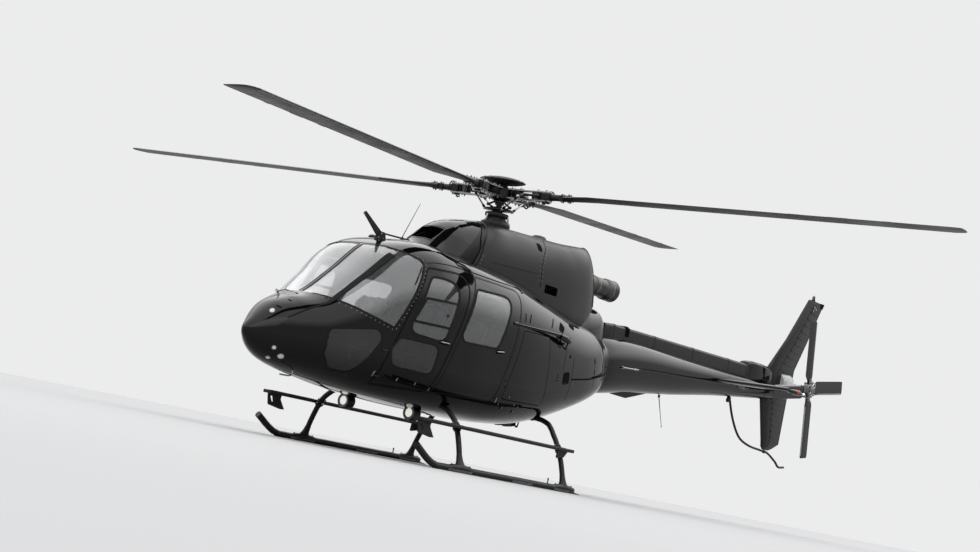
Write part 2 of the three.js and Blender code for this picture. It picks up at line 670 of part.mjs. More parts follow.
function buildGear() {
  const r = SKID.tube / 2;
  for (const [name, side] of SIDES) {
    const x = side * SKID.x;
    const tube = bar([[x, SKID.tip, SKID.tipZ], [x, SKID.bend - 120, 80], [x, SKID.bend, r + 4],
      [x, SKID.bend + 160, r - SOLE], [x, 0, r - SOLE], [x, SKID.heel - 150, r - SOLE]], r, 14, 10);
    const heel = box(x - r, x + r, SKID.heel - 170, SKID.heel + 40, 0, 10);
    const ground = box(x - 200, x + 200, SKID.tip - 100, SKID.heel, -100, 0);
    add(`skid_${name}`, cut(join(tube, heel), ground), GLOSS_BLACK);
    const board = box(side * STEP.x - STEP.width / 2, side * STEP.x + STEP.width / 2,
      STEP.front, STEP.rear, STEP.z - STEP.thickness / 2, STEP.z + STEP.thickness / 2);
    const legRoom = LEGS.map(([, y, arch]) => crossTube(y, arch, TUBE + PANEL_GAP));
    const plates = STEP_PLATES.map((corners) => sidePrism(corners, side * STEP.x - 6, side * STEP.x + 6));
    const eye = sidePrism(STEP_PLATE_EYE, ...across);
    add(`step_${name}`, cut(join(board, ...plates), eye, ...legRoom), GLOSS_BLACK);
  }
  const skids = SIDES.map(([, side]) => bar(
    [[side * SKID.x, SKID.tip, r], [side * SKID.x, SKID.heel, r]], r + 1, 1, 12));
  for (const [name, y, arch] of LEGS) {
    add(`cross_tube_${name}`, cut(crossTube(y, arch, TUBE), ...skids), GLOSS_BLACK);
  }
}

function crossTube(y, arch, radius) {
  const right = arch.slice(1).reverse().map(([x, z]) => [-x, y, z]);
  const left = arch.map(([x, z]) => [x, y, z]);
  return bar([...right, ...left], radius, 28, 8);
}

// Centre of each landing light's lens, and the lamp's radius and depth
const LANDING_LIGHTS = [['port', 334, -1160, 493], ['starboard', -334, -1430, 493]];
const LAMP = [[0, 0], [70, 0], [82, 35], [76, 100], [0, 120]];
const HOOK = { half: 70, side: [[715, 565, 20], [700, 760, 0], [950, 760, 0], [930, 580, 30]] };

function buildBelly() {
  const cleared = bodySkin(-1);
  for (const [name, ...at] of LANDING_LIGHTS) {
    const lamp = turned(LAMP, [0, 1, 0], at);
    add(`landing_light_${name}`, cut(lamp, cleared, tubeRoom(0)), LENS);
  }
  const hook = sidePrism(HOOK.side, -HOOK.half, HOOK.half);
  add('belly_hook', cut(hook, cleared, tubeRoom(1)), TRIM);
}

const CUTTER = {
  half: 12,
  side: [
    [-1800, 2060, 0], [-1790, 2170, 0], [-2030, 2345, 0], [-2005, 2365, 0], [-1690, 2190, 0],
    [-1640, 2060, 0],
  ],
  brace: { points: [[0, -1800, 2200], [0, -1300, 2222]], radius: 8 },
};

function buildRoofFittings() {
  const blade = sidePrism(CUTTER.side, -CUTTER.half, CUTTER.half);
  const brace = bar(CUTTER.brace.points, CUTTER.brace.radius, 1, 8);
  add('roof_cutter', cut(join(blade, brace), bodySkin(-1)), TRIM);
}

// Rotors

function bladeSection(chord, thickness, lead) {
  const upper = [[0.1, 0.45], [0.35, 0.5], [1, 0.04]];
  const lower = upper.map(([along, height]) => [along, -height]).reverse();
  return [[0, 0], ...upper, ...lower].map(([along, height]) => [lead - along * chord, height * thickness]);
}

// A blade along +X with its leading edge towards +Y; rows are [radius, chord, thickness, lead].
function blade(rows) {
  const rings = rows.map(([x, chord, thickness, lead]) =>
    bladeSection(chord, thickness, lead).map(([y, z]) => new THREE.Vector3(x, y, z)));
  const centre = (row) => new THREE.Vector3(row[0], row[3] - row[1] / 2, 0);
  return skin(rings, centre(rows[0]), centre(rows.at(-1)));
}

// Main and tail rotor hubs: radius and distance along the shaft.
const HUB = [
  [0, -130], [50, -130], [50, -58], [130, -58], [130, 58], [60, 70], [60, 95], [250, 130], [240, 150],
  [120, 178], [0, 182],
];
const HUB_ARM = { inner: 90, outer: 600, half: 55, plates: [[38, 58], [-58, -38]] };
const SLEEVE = {
  inner: 505, outer: 595, half: 65, height: 37,
  neck: [[0, 0], [36, 0], [36, 190], [0, 190]],
};
const TAIL_HUB = [[0, -110], [30, -110], [30, -60], [75, -60], [75, 30], [45, 60], [0, 66]];

function buildMainRotor() {
  const { hubZ, radius, blades, rootChord, chord, thickness } = ROTOR;
  const [azimuth, cone, tilt] = [ROTOR.azimuth, ROTOR.cone, ROTOR.tilt].map(THREE.MathUtils.degToRad);
  const head = new THREE.Group();
  head.position.set(0, 0, hubZ);
  head.rotation.x = tilt;
  helicopter.add(head);

  const arms = [];
  for (let i = 0; i < blades; i += 1) {
    const heading = azimuth + (i / blades) * 2 * Math.PI;
    const turn = new THREE.Matrix4().makeRotationZ(heading);
    const lifted = new THREE.Matrix4().makeRotationY(-cone);
    const { inner, outer, half, plates } = HUB_ARM;
    const pair = plates.map(([z0, z1]) => box(inner, outer, -half, half, z0, z1));
    const geometry = toGeometry(join(...pair, box(inner, 160, -40, 40, -half, half)));
    arms.push(toSolid(geometry.applyMatrix4(turn.multiply(lifted))));

    const holder = new THREE.Group();
    holder.rotation.z = heading;
    head.add(holder);
    const lift = new THREE.Group();
    lift.rotation.y = -cone;
    holder.add(lift);
    const sleeve = join(
      box(SLEEVE.inner, SLEEVE.outer, -SLEEVE.half, SLEEVE.half, -SLEEVE.height, SLEEVE.height),
      turned(SLEEVE.neck, [1, 0, 0], [SLEEVE.outer - 5, 0, 0], 12),
    );
    const foil = blade([[760, rootChord, 60, 70], [1120, chord, thickness, 90],
      [radius - 90, chord, thickness * 0.8, 90], [radius, chord * 0.8, thickness * 0.5, 45]]);
    add(`main_blade_${i + 1}`, join(sleeve, foil), BLADE_GREY, lift);
  }
  add('rotor_hub', join(turned(HUB, [0, 0, 1], [0, 0, 0]), ...arms), STEEL, head);
}

function buildTailRotor() {
  const { x, y, z, radius, blades, chord } = TAIL_ROTOR;
  const azimuth = THREE.MathUtils.degToRad(TAIL_ROTOR.azimuth);
  const head = new THREE.Group();
  head.position.set(x, y, z);
  helicopter.add(head);
  add('tail_rotor_hub', turned(TAIL_HUB, [1, 0, 0], [0, 0, 0]), STEEL, head);
  for (let i = 0; i < blades; i += 1) {
    const holder = new THREE.Group();
    holder.rotation.x = azimuth + (i / blades) * 2 * Math.PI;
    head.add(holder);
    const stand = new THREE.Matrix4().makeRotationFromEuler(new THREE.Euler(0, -Math.PI / 2, 0));
    const foil = blade([[82, 60, 26, 30], [200, chord, 20, 70], [radius, chord, 12, 70]]);
    add(`tail_blade_${i + 1}`, toSolid(toGeometry(foil).applyMatrix4(stand)), BLADE_GREY, holder);
  }
}

buildShell();
buildRearFuselage();
buildGlazing();
buildDoors();
buildCabin();
buildPower();
buildTail();
buildGear();
buildBelly();
buildRoofFittings();
buildMainRotor();
buildTailRotor();

const group = new THREE.Group();
group.add(helicopter);

export default group;
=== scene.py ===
# A light single-engine utility helicopter on its skids: materials, smooth panels and fine detail.
#
# Tables and shapes are in millimetres, with stations counted from the rotor mast. A shape is a pair of
# points and faces, and place() turns it into metres in the part's own frame (+X port, +Y aft, +Z up)
# when its mesh is made.

import math

import bmesh
import bpy
import numpy as np
from mathutils import Matrix, Vector


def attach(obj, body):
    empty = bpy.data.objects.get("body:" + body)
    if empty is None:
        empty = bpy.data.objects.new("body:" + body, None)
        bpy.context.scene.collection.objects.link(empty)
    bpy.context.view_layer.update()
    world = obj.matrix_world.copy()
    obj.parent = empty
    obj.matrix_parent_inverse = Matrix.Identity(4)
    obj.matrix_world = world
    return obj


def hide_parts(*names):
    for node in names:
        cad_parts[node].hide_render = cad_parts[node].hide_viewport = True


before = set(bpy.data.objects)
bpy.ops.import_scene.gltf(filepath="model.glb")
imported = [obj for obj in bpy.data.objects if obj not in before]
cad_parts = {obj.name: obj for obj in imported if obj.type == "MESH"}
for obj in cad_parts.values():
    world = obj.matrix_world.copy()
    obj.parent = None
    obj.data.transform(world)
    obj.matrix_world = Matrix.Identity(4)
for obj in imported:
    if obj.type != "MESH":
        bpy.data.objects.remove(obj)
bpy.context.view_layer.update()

MAST = -1365.0
SIDES = (("port", 1), ("starboard", -1))
REACH = 1300
UP = (0, 0, 1)
AFT = (0, 1, 0)
OUT = (1, 0, 0)


def place(points):
    return (np.asarray(points, float) + (0, MAST, 0)) * 0.001


# Camera: the photograph's direction and framing, from floor level

CAMERA = {
    "place": (12.143, -15.892, 0.12),
    "right": (0.7677, 0.6116, 0.1911),
    "ahead": (-0.6356, 0.7648, 0.1054),
    "focal_px": 1762,
    "width_px": 980,
}


def make_camera():
    data = bpy.data.cameras.new("camera")
    data.sensor_fit = "HORIZONTAL"
    data.sensor_width = 36.0
    data.lens = 36.0 * CAMERA["focal_px"] / CAMERA["width_px"]
    data.clip_end = 200
    camera = bpy.data.objects.new("camera", data)
    right = Vector(CAMERA["right"]).normalized()
    back = -Vector(CAMERA["ahead"]).normalized()
    up = back.cross(right).normalized()
    turn = Matrix((right, up, back)).transposed()
    camera.matrix_world = Matrix.Translation(CAMERA["place"]) @ turn.to_4x4()
    bpy.context.scene.collection.objects.link(camera)
    bpy.context.scene.camera = camera


make_camera()

# Materials


def node_tree(name):
    material = bpy.data.materials.new(name)
    material.use_nodes = True
    nodes = material.node_tree.nodes
    return material, nodes, material.node_tree.links, nodes["Principled BSDF"]


def texture(nodes, links, kind, scale, detail=4.0, stretch=None):
    coordinates = nodes.new("ShaderNodeTexCoord")
    mapping = nodes.new("ShaderNodeMapping")
    if stretch:
        mapping.inputs["Scale"].default_value = stretch
    links.new(coordinates.outputs["Object"], mapping.inputs["Vector"])
    picture = nodes.new(kind)
    picture.inputs["Scale"].default_value = scale
    if "Detail" in picture.inputs:
        picture.inputs["Detail"].default_value = detail
    links.new(mapping.outputs["Vector"], picture.inputs["Vector"])
    return picture


def ramp(nodes, links, source, stops):
    curve = nodes.new("ShaderNodeValToRGB")
    while len(curve.color_ramp.elements) < len(stops):
        curve.color_ramp.elements.new(0.5)
    for element, (position, color) in zip(curve.color_ramp.elements, stops):
        element.position = position
        element.color = (*color, 1)
    links.new(source, curve.inputs["Fac"])
    return curve.outputs["Color"]


def spread(nodes, links, source, low, high):
    span = nodes.new("ShaderNodeMapRange")
    span.inputs["From Min"].default_value = 0.3
    span.inputs["From Max"].default_value = 0.7
    span.inputs["To Min"].default_value = low
    span.inputs["To Max"].default_value = high
    links.new(source, span.inputs["Value"])
    return span.outputs["Result"]


def roughen(nodes, links, source, shader, strength, height):
    bump = nodes.new("ShaderNodeBump")
    bump.inputs["Strength"].default_value = strength
    bump.inputs["Distance"].default_value = height
    links.new(source, bump.inputs["Height"])
    links.new(bump.outputs["Normal"], shader.inputs["Normal"])


def toned(color, share):
    return tuple(min(value * share, 1) for value in color)


def finish(name, color, rough, metallic=0.0, coat=0.0, vary=0.15, patch=3.0, grain=None, wear=None, ior=1.5):
    """A paint, plastic or metal: patchy colour and gloss, a fine grain, and worn or dusty spots."""
    material, nodes, links, shader = node_tree(name)
    shader.inputs["Metallic"].default_value = metallic
    shader.inputs["IOR"].default_value = ior
    shader.inputs["Coat Weight"].default_value = coat
    shader.inputs["Coat Roughness"].default_value = 0.03
    broad = texture(nodes, links, "ShaderNodeTexNoise", patch, 5.0)
    dark, light = toned(color, 1 - vary), toned(color, 1 + vary)
    stops = [(0.3, dark), (0.7, light)]
    if wear:
        stops = [(0.3, dark), (wear[0], light), (min(wear[0] + 0.06, 1), wear[1])]
    links.new(ramp(nodes, links, broad.outputs["Fac"], stops), shader.inputs["Base Color"])
    links.new(spread(nodes, links, broad.outputs["Fac"], *rough), shader.inputs["Roughness"])
    if grain:
        scale, height = grain
        fine = texture(nodes, links, "ShaderNodeTexNoise", scale, 3.0)
        roughen(nodes, links, fine.outputs["Fac"], shader, 0.4, height)
    return material


def clear_glass(name, tint, clear):
    """Tinted window plastic: most light passes, and the rest shows as a faint haze."""
    material, nodes, links, shader = node_tree(name)
    shader.inputs["Transmission Weight"].default_value = clear
    haze = texture(nodes, links, "ShaderNodeTexNoise", 2.5, 6.0)
    color = ramp(nodes, links, haze.outputs["Fac"], [(0.35, toned(tint, 0.9)), (0.65, tint)])
    links.new(color, shader.inputs["Base Color"])
    links.new(spread(nodes, links, haze.outputs["Fac"], 0.0, 0.02), shader.inputs["Roughness"])
    return material


def lamp_glow(name, color, strength):
    material, nodes, links, shader = node_tree(name)
    facets = texture(nodes, links, "ShaderNodeTexVoronoi", 160.0)
    facet_color = ramp(nodes, links, facets.outputs["Distance"], [(0.0, color), (1.0, toned(color, 0.6))])
    links.new(facet_color, shader.inputs["Base Color"])
    shader.inputs["Roughness"].default_value = 0.08
    shader.inputs["Emission Color"].default_value = (*color, 1)
    shader.inputs["Emission Strength"].default_value = strength
    return material


def woven(name, color):
    material, nodes, links, shader = node_tree(name)
    shader.inputs["Sheen Weight"].default_value = 0.35
    shader.inputs["Sheen Roughness"].default_value = 0.5
    thread = texture(nodes, links, "ShaderNodeTexWave", 260.0, 1.0, (1.0, 1.0, 0.35))
    thread.inputs["Distortion"].default_value = 1.5
    broad = texture(nodes, links, "ShaderNodeTexNoise", 9.0)
    yarn = ramp(nodes, links, broad.outputs["Fac"], [(0.3, toned(color, 0.72)), (0.7, color)])
    links.new(yarn, shader.inputs["Base Color"])
    links.new(spread(nodes, links, broad.outputs["Fac"], 0.75, 0.95), shader.inputs["Roughness"])
    roughen(nodes, links, thread.outputs["Fac"], shader, 0.5, 0.0012)
    return material


GLOSS = finish("gloss_black", (0.0016, 0.0016, 0.0018), (0.035, 0.07), vary=0.25, patch=1.3,
               grain=(2.2, 0.0010), ior=1.28)
SATIN = finish("satin_black", (0.0018, 0.0018, 0.002), (0.22, 0.34), vary=0.2, patch=2.0,
               grain=(4.0, 0.0010), ior=1.22)
COWL_PAINT = finish("cowl_paint", (0.0055, 0.0056, 0.006), (0.34, 0.46), vary=0.15, patch=2.2,
                    grain=(5.0, 0.0012), ior=1.3)
GEAR_PAINT = finish("gear_paint", (0.005, 0.005, 0.0054), (0.28, 0.5), vary=0.3, patch=7.0,
                    grain=(500.0, 0.0003), wear=(0.72, (0.02, 0.02, 0.02)), ior=1.3)
RUBBER = finish("rubber", (0.005, 0.005, 0.005), (0.6, 0.8), vary=0.2, patch=20.0, grain=(300.0, 0.0003),
                ior=1.2)
TRIM = finish("trim", (0.009, 0.009, 0.0095), (0.5, 0.7), vary=0.2, patch=12.0, grain=(900.0, 0.0004),
              ior=1.3)
# Near-black matte paint: painted shade for the dark inside of seams, gaps, slots, vents, scoops and recesses,
# and the colour of a few small black parts.
BLACK_AND_SHADE = finish("black_and_painted_shade", (0.0015, 0.0015, 0.0015), (0.7, 0.9), vary=0.2, patch=20.0, ior=1.1)
BLADE = finish("blade_paint", (0.010, 0.010, 0.011), (0.4, 0.52), vary=0.2, patch=3.0, ior=1.32)
STEEL = finish("bright_steel", (0.28, 0.28, 0.29), (0.2, 0.4), metallic=1.0, vary=0.15, patch=30.0,
               grain=(600.0, 0.0002))
DULL_METAL = finish("dull_metal", (0.13, 0.13, 0.135), (0.35, 0.6), metallic=0.8, vary=0.3, patch=24.0,
                    grain=(500.0, 0.0002))
EXHAUST = finish("exhaust", (0.052, 0.050, 0.047), (0.32, 0.5), metallic=0.9, vary=0.35, patch=7.0,
                 grain=(250.0, 0.0003), wear=(0.62, (0.075, 0.069, 0.062)))
PALE_PAINT = finish("pale_grey_paint", (0.30, 0.31, 0.32), (0.35, 0.5), vary=0.12, patch=8.0,
                    grain=(300.0, 0.0002))
SCREEN = finish("screen", (0.008, 0.009, 0.012), (0.05, 0.1), coat=0.6, vary=0.2, patch=10.0)
GLASS = clear_glass("window_glass", (0.62, 0.63, 0.64), 0.965)
CHIN_GLASS = clear_glass("chin_glass", (0.14, 0.143, 0.146), 0.99)
SCREEN_GLASS = clear_glass("screen_glass", (0.68, 0.69, 0.7), 0.955)
CLOTH = woven("seat_cloth", (0.075, 0.075, 0.08))
WEBBING = woven("webbing", (0.05, 0.05, 0.055))
LAMP = lamp_glow("lamp_white", (0.95, 0.93, 0.86), 0.6)
LENS = lamp_glow("clear_lens", (0.62, 0.62, 0.6), 0.12)
LAMP_RED = lamp_glow("lamp_red", (0.5, 0.05, 0.04), 0.25)
LAMP_GREEN = lamp_glow("lamp_green", (0.04, 0.35, 0.12), 0.25)

# Meshes

THINNEST = 0.01
CLOSE_POINTS = 0.05


def new_object(name, mesh):
    thing = bpy.data.objects.new(name, mesh)
    bpy.context.scene.collection.objects.link(thing)
    return thing


def raw_mesh(name, shape):
    points, faces = shape
    mesh = bpy.data.meshes.new(name)
    mesh.from_pydata(place(points).tolist(), [], [tuple(int(i) for i in face) for face in faces])
    mesh.update()
    return mesh


def mesh_points(mesh):
    """A mesh's points in millimetres, with stations counted from the mast."""
    spots = np.empty(len(mesh.vertices) * 3)
    mesh.vertices.foreach_get("co", spots)
    return spots.reshape(-1, 3) * 1000 - (0, MAST, 0)


def mesh_shape(mesh):
    return mesh_points(mesh), [tuple(face.vertices) for face in mesh.polygons]


def joined(shapes):
    """One shape from a list of shapes."""
    all_points, all_faces, start = [], [], 0
    for points, faces in shapes:
        all_points.append(np.asarray(points, float))
        all_faces += [tuple(start + i for i in face) for face in faces]
        start += len(points)
    return np.concatenate(all_points), all_faces


def fix_facing(mesh):
    shape = bmesh.new()
    shape.from_mesh(mesh)
    bmesh.ops.recalc_face_normals(shape, faces=shape.faces)
    shape.to_mesh(mesh)
    shape.free()


def settle(thing, material, rider, replaces):
    """Gives a piece its material, the body that it rides and the node that it replaces."""
    thing.data.materials.clear()
    thing.data.materials.append(material)
    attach(thing, rider)
    if replaces:
        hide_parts(replaces)


def piece(name, shapes, material, rider="airframe", smooth=40, replaces=None):
    """A finished piece from a list of shapes."""
    thing = new_object(name, raw_mesh(name, joined(shapes)))
    fix_facing(thing.data)
    thing.data.shade_smooth()
    thing.data.set_sharp_from_angle(angle=math.radians(smooth))
    settle(thing, material, rider, replaces)


def turn_steps(count, start=0.0):
    """Even angles all the way round."""
    return np.linspace(start, start + 2 * math.pi, count, endpoint=False)


def band_faces(first, second, count):
    return [(first + i, first + (i + 1) % count, second + (i + 1) % count, second + i) for i in range(count)]


def lofted(rings, ends="capped"):
    """Rings of equal length joined in turn; the ends are capped, left open or joined to each other."""
    rings = [np.asarray(ring, float) for ring in rings]
    count, last = len(rings[0]), (len(rings) - 1) * len(rings[0])
    faces = []
    for start in range(0, last, count):
        faces += band_faces(start, start + count, count)
    if ends == "capped":
        faces.append(tuple(range(count))[::-1])
        faces.append(tuple(last + i for i in range(count)))
    if ends == "joined":
        faces += band_faces(last, 0, count)
    return np.concatenate(rings), faces


def turned(profile, base, direction, sides=32, ends="capped"):
    """A turned shape: profile rows are radius and distance along."""
    along = Vector(direction).normalized()
    side = along.cross(Vector(UP if abs(along.z) < 0.9 else OUT)).normalized()
    other = along.cross(side).normalized()
    rings = []
    for radius, offset in profile:
        middle = Vector(base) + along * offset
        radius = max(radius, THINNEST)
        rings.append([middle + side * (radius * math.cos(a)) + other * (radius * math.sin(a))
                      for a in turn_steps(sides)])
    return lofted(rings, ends)


def washer(inner, outer, half, bevel, base, direction, sides):
    """A collar of a given half length, or a nut, with its outer edges bevelled off."""
    profile = [(inner, -half), (outer, bevel - half), (outer, half - bevel), (inner, half)]
    return turned(profile, base, direction, sides)


def smooth_path(points, steps):
    """A Catmull-Rom curve through points."""
    p = np.asarray(points, float)
    p = np.concatenate([[2 * p[0] - p[1]], p, [2 * p[-1] - p[-2]]])
    out = []
    for i in range(1, len(p) - 2):
        for t in np.linspace(0, 1, steps, endpoint=False):
            a, b, c, d = p[i - 1], p[i], p[i + 1], p[i + 2]
            out.append(b + 0.5 * t * (c - a + t * (2 * a - 5 * b + 4 * c - d + t * (3 * (b - c) + d - a))))
    return np.array(out + [p[-2]])


def swept(points, radius, sides=16, steps=6, flat=1.0, up=UP):
    """A tube along a curve; radius may be one number or one per curve point."""
    path = smooth_path(points, steps) if len(points) > 2 else np.asarray(points, float)
    share = np.linspace(0, 1, len(path))
    radii = np.interp(share, np.linspace(0, 1, np.size(radius)), np.atleast_1d(radius))
    ahead = np.gradient(path, axis=0)
    ahead /= np.linalg.norm(ahead, axis=1)[:, None]
    side = np.cross(ahead[0], up)
    if np.linalg.norm(side) < 0.1:
        side = np.cross(ahead[0], OUT)
    angles = turn_steps(sides)
    rings = []
    for point, along, r in zip(path, ahead, radii):
        side = side - along * np.dot(side, along)
        side /= np.linalg.norm(side)
        other = np.cross(along, side) * flat
        rings.append([point + (side * math.cos(a) + other * math.sin(a)) * r for a in angles])
    return lofted(rings)


def rounded_outline(corners, steps):
    """Points of an outline from corners of [u, v, radius]."""
    points = []
    count = len(corners)
    for i, (u, v, radius) in enumerate(corners):
        here = np.array((u, v), float)
        if radius <= 0:
            points.append(here)
            continue
        back = np.array(corners[i - 1][:2]) - here
        ahead = np.array(corners[(i + 1) % count][:2]) - here
        back /= np.linalg.norm(back)
        ahead /= np.linalg.norm(ahead)
        reach = radius / math.tan(math.acos(np.clip(back @ ahead, -1, 1)) / 2)
        start, end = here + back * reach, here + ahead * reach
        for t in np.linspace(0, 1, steps + 1):
            points.append((1 - t) ** 2 * start + 2 * t * (1 - t) * here + t * t * end)
    return np.array(points)


def inset(corners, distance):
    """Moves every side of an outline inwards by a distance."""
    p = np.array([c[:2] for c in corners], float)
    q = np.roll(p, -1, axis=0)
    turn = np.sign(np.sum(p[:, 0] * q[:, 1] - q[:, 0] * p[:, 1]))
    edge = (q - p) / np.linalg.norm(q - p, axis=1)[:, None]
    normal = np.stack([-edge[:, 1], edge[:, 0]], axis=1) * turn
    before = np.roll(normal, 1, axis=0)
    push = (before + normal) * (distance / (1 + np.sum(before * normal, axis=1)))[:, None]
    return [(u, v, max(c[2] - distance, 0)) for (u, v), c in zip(p + push, corners)]


def side_prism(corners, x0, x1, steps=10):
    """A side-view outline of [y, z, radius] carried across from x0 to x1."""
    outline = rounded_outline(corners, steps)
    keep = np.linalg.norm(outline - np.roll(outline, 1, axis=0), axis=1) > CLOSE_POINTS
    return lofted([[(x, y, z) for y, z in outline[keep]] for x in (x0, x1)])


def block(x0, x1, y0, y1, z0, z1):
    return lofted([[(x, y, z) for y, z in ((y0, z0), (y1, z0), (y1, z1), (y0, z1))] for x in (x0, x1)])


def rounded_block(x0, x1, y0, y1, z0, z1, radius):
    """A block with rounded edges, from stacked outlines at each end."""
    steps = 4
    rings = []
    for k in range(steps + 1):
        a = k / steps * math.pi / 2
        rings.append((x0 + radius * (1 - math.sin(a)), radius * (1 - math.cos(a))))
    rings += [(x0 + x1 - x, shrink) for x, shrink in reversed(rings)]
    corners = [(y0, z0, radius), (y1, z0, radius), (y1, z1, radius), (y0, z1, radius)]
    loops = []
    for x, shrink in rings:
        shrink = min(shrink, radius * 0.98)
        smaller = [(u, v, radius - shrink) for u, v, _ in inset(corners, shrink)]
        loops.append([(x, y, z) for y, z in rounded_outline(smaller, steps)])
    return lofted(loops)


# Boolean steps: every tool object is in the list, and is removed at the end

tools = []


def tool_object(mesh):
    tools.append(new_object("tool", mesh))
    return tools[-1]


def tool(shape):
    """A closed shape as an object that other shapes are cut by."""
    thing = tool_object(raw_mesh("tool", shape))
    fix_facing(thing.data)
    return thing


def less(*things):
    return [("DIFFERENCE", thing) for thing in things]


def within(*things):
    return [("INTERSECT", thing) for thing in things]


def carved(base, steps):
    """The mesh of an object after boolean steps of (operation, tool object)."""
    work = new_object("work", base.data)
    for operation, thing in steps:
        modifier = work.modifiers.new("step", "BOOLEAN")
        modifier.solver = "MANIFOLD"
        modifier.operation = operation
        modifier.object = thing
    graph = bpy.context.evaluated_depsgraph_get()
    mesh = bpy.data.meshes.new_from_object(work.evaluated_get(graph))
    bpy.data.objects.remove(work)
    return mesh


# Body surface: station, half width, widest height, top, bottom, and the curve's powers above and below

BODY = (
    (-3295, 0, 935, 935, 935, 2, 2),
    (-3205, 120, 945, 1080, 805, 2.1, 1.9),
    (-3060, 250, 953, 1238, 714, 2.35, 1.9),
    (-2880, 382, 956, 1337, 661, 2.5, 1.9),
    (-2640, 517, 962, 1440, 623, 2.85, 1.95),
    (-2300, 655, 969, 1735, 589, 3.15, 2.2),
    (-1970, 776, 973, 2039, 565, 3.6, 2.5),
    (-1600, 888, 984, 2175, 548, 3.6, 2.8),
    (-1150, 940, 984, 2185, 530, 3.25, 2.95),
    (-650, 948, 993, 2182, 525, 3, 2.9),
    (-150, 935, 1002, 2165, 528, 2.75, 2.65),
    (400, 878, 1043, 2101, 572, 2.5, 2.25),
    (900, 802, 1102, 2021, 683, 2.3, 1.9),
    (1300, 722, 1170, 1955, 843, 2.25, 1.9),
    (1600, 625, 1251, 1914, 960, 2.3, 1.9),
    (1850, 489, 1365, 1872, 1066, 2.35, 1.9),
    (2020, 387, 1486, 1828, 1161, 2.4, 2),
)
BOOM = (
    (2021, 325, 1495, 1823, 1167, 2, 2),
    (2300, 330, 1536, 1887, 1185, 2, 2),
    (3000, 294, 1611, 1926, 1296, 2, 2),
    (4000, 233, 1673, 1921, 1425, 2, 2),
    (5000, 169, 1745, 1922, 1568, 2, 2),
    (6540, 97, 1847, 1948, 1746, 2, 2),
)
COWL_FOOT = 1960
COWL = (
    (-1420, 293, COWL_FOOT, 2161, 1660, 2.1, 2),
    (-1250, 374, COWL_FOOT, 2234, 1660, 1.95, 2),
    (-1080, 401, COWL_FOOT, 2367, 1660, 1.95, 2),
    (-840, 431, COWL_FOOT, 2540, 1660, 2.3, 2),
    (-420, 460, COWL_FOOT, 2641, 1660, 2.8, 2),
    (0, 470, COWL_FOOT, 2664, 1660, 3, 2),
    (500, 460, COWL_FOOT, 2686, 1660, 3.25, 2),
    (1000, 424, COWL_FOOT, 2712, 1660, 3.35, 2),
    (1400, 359, COWL_FOOT, 2756, 1660, 3, 2),
    (1640, 297, COWL_FOOT, 2785, 1660, 1.8, 2),
)


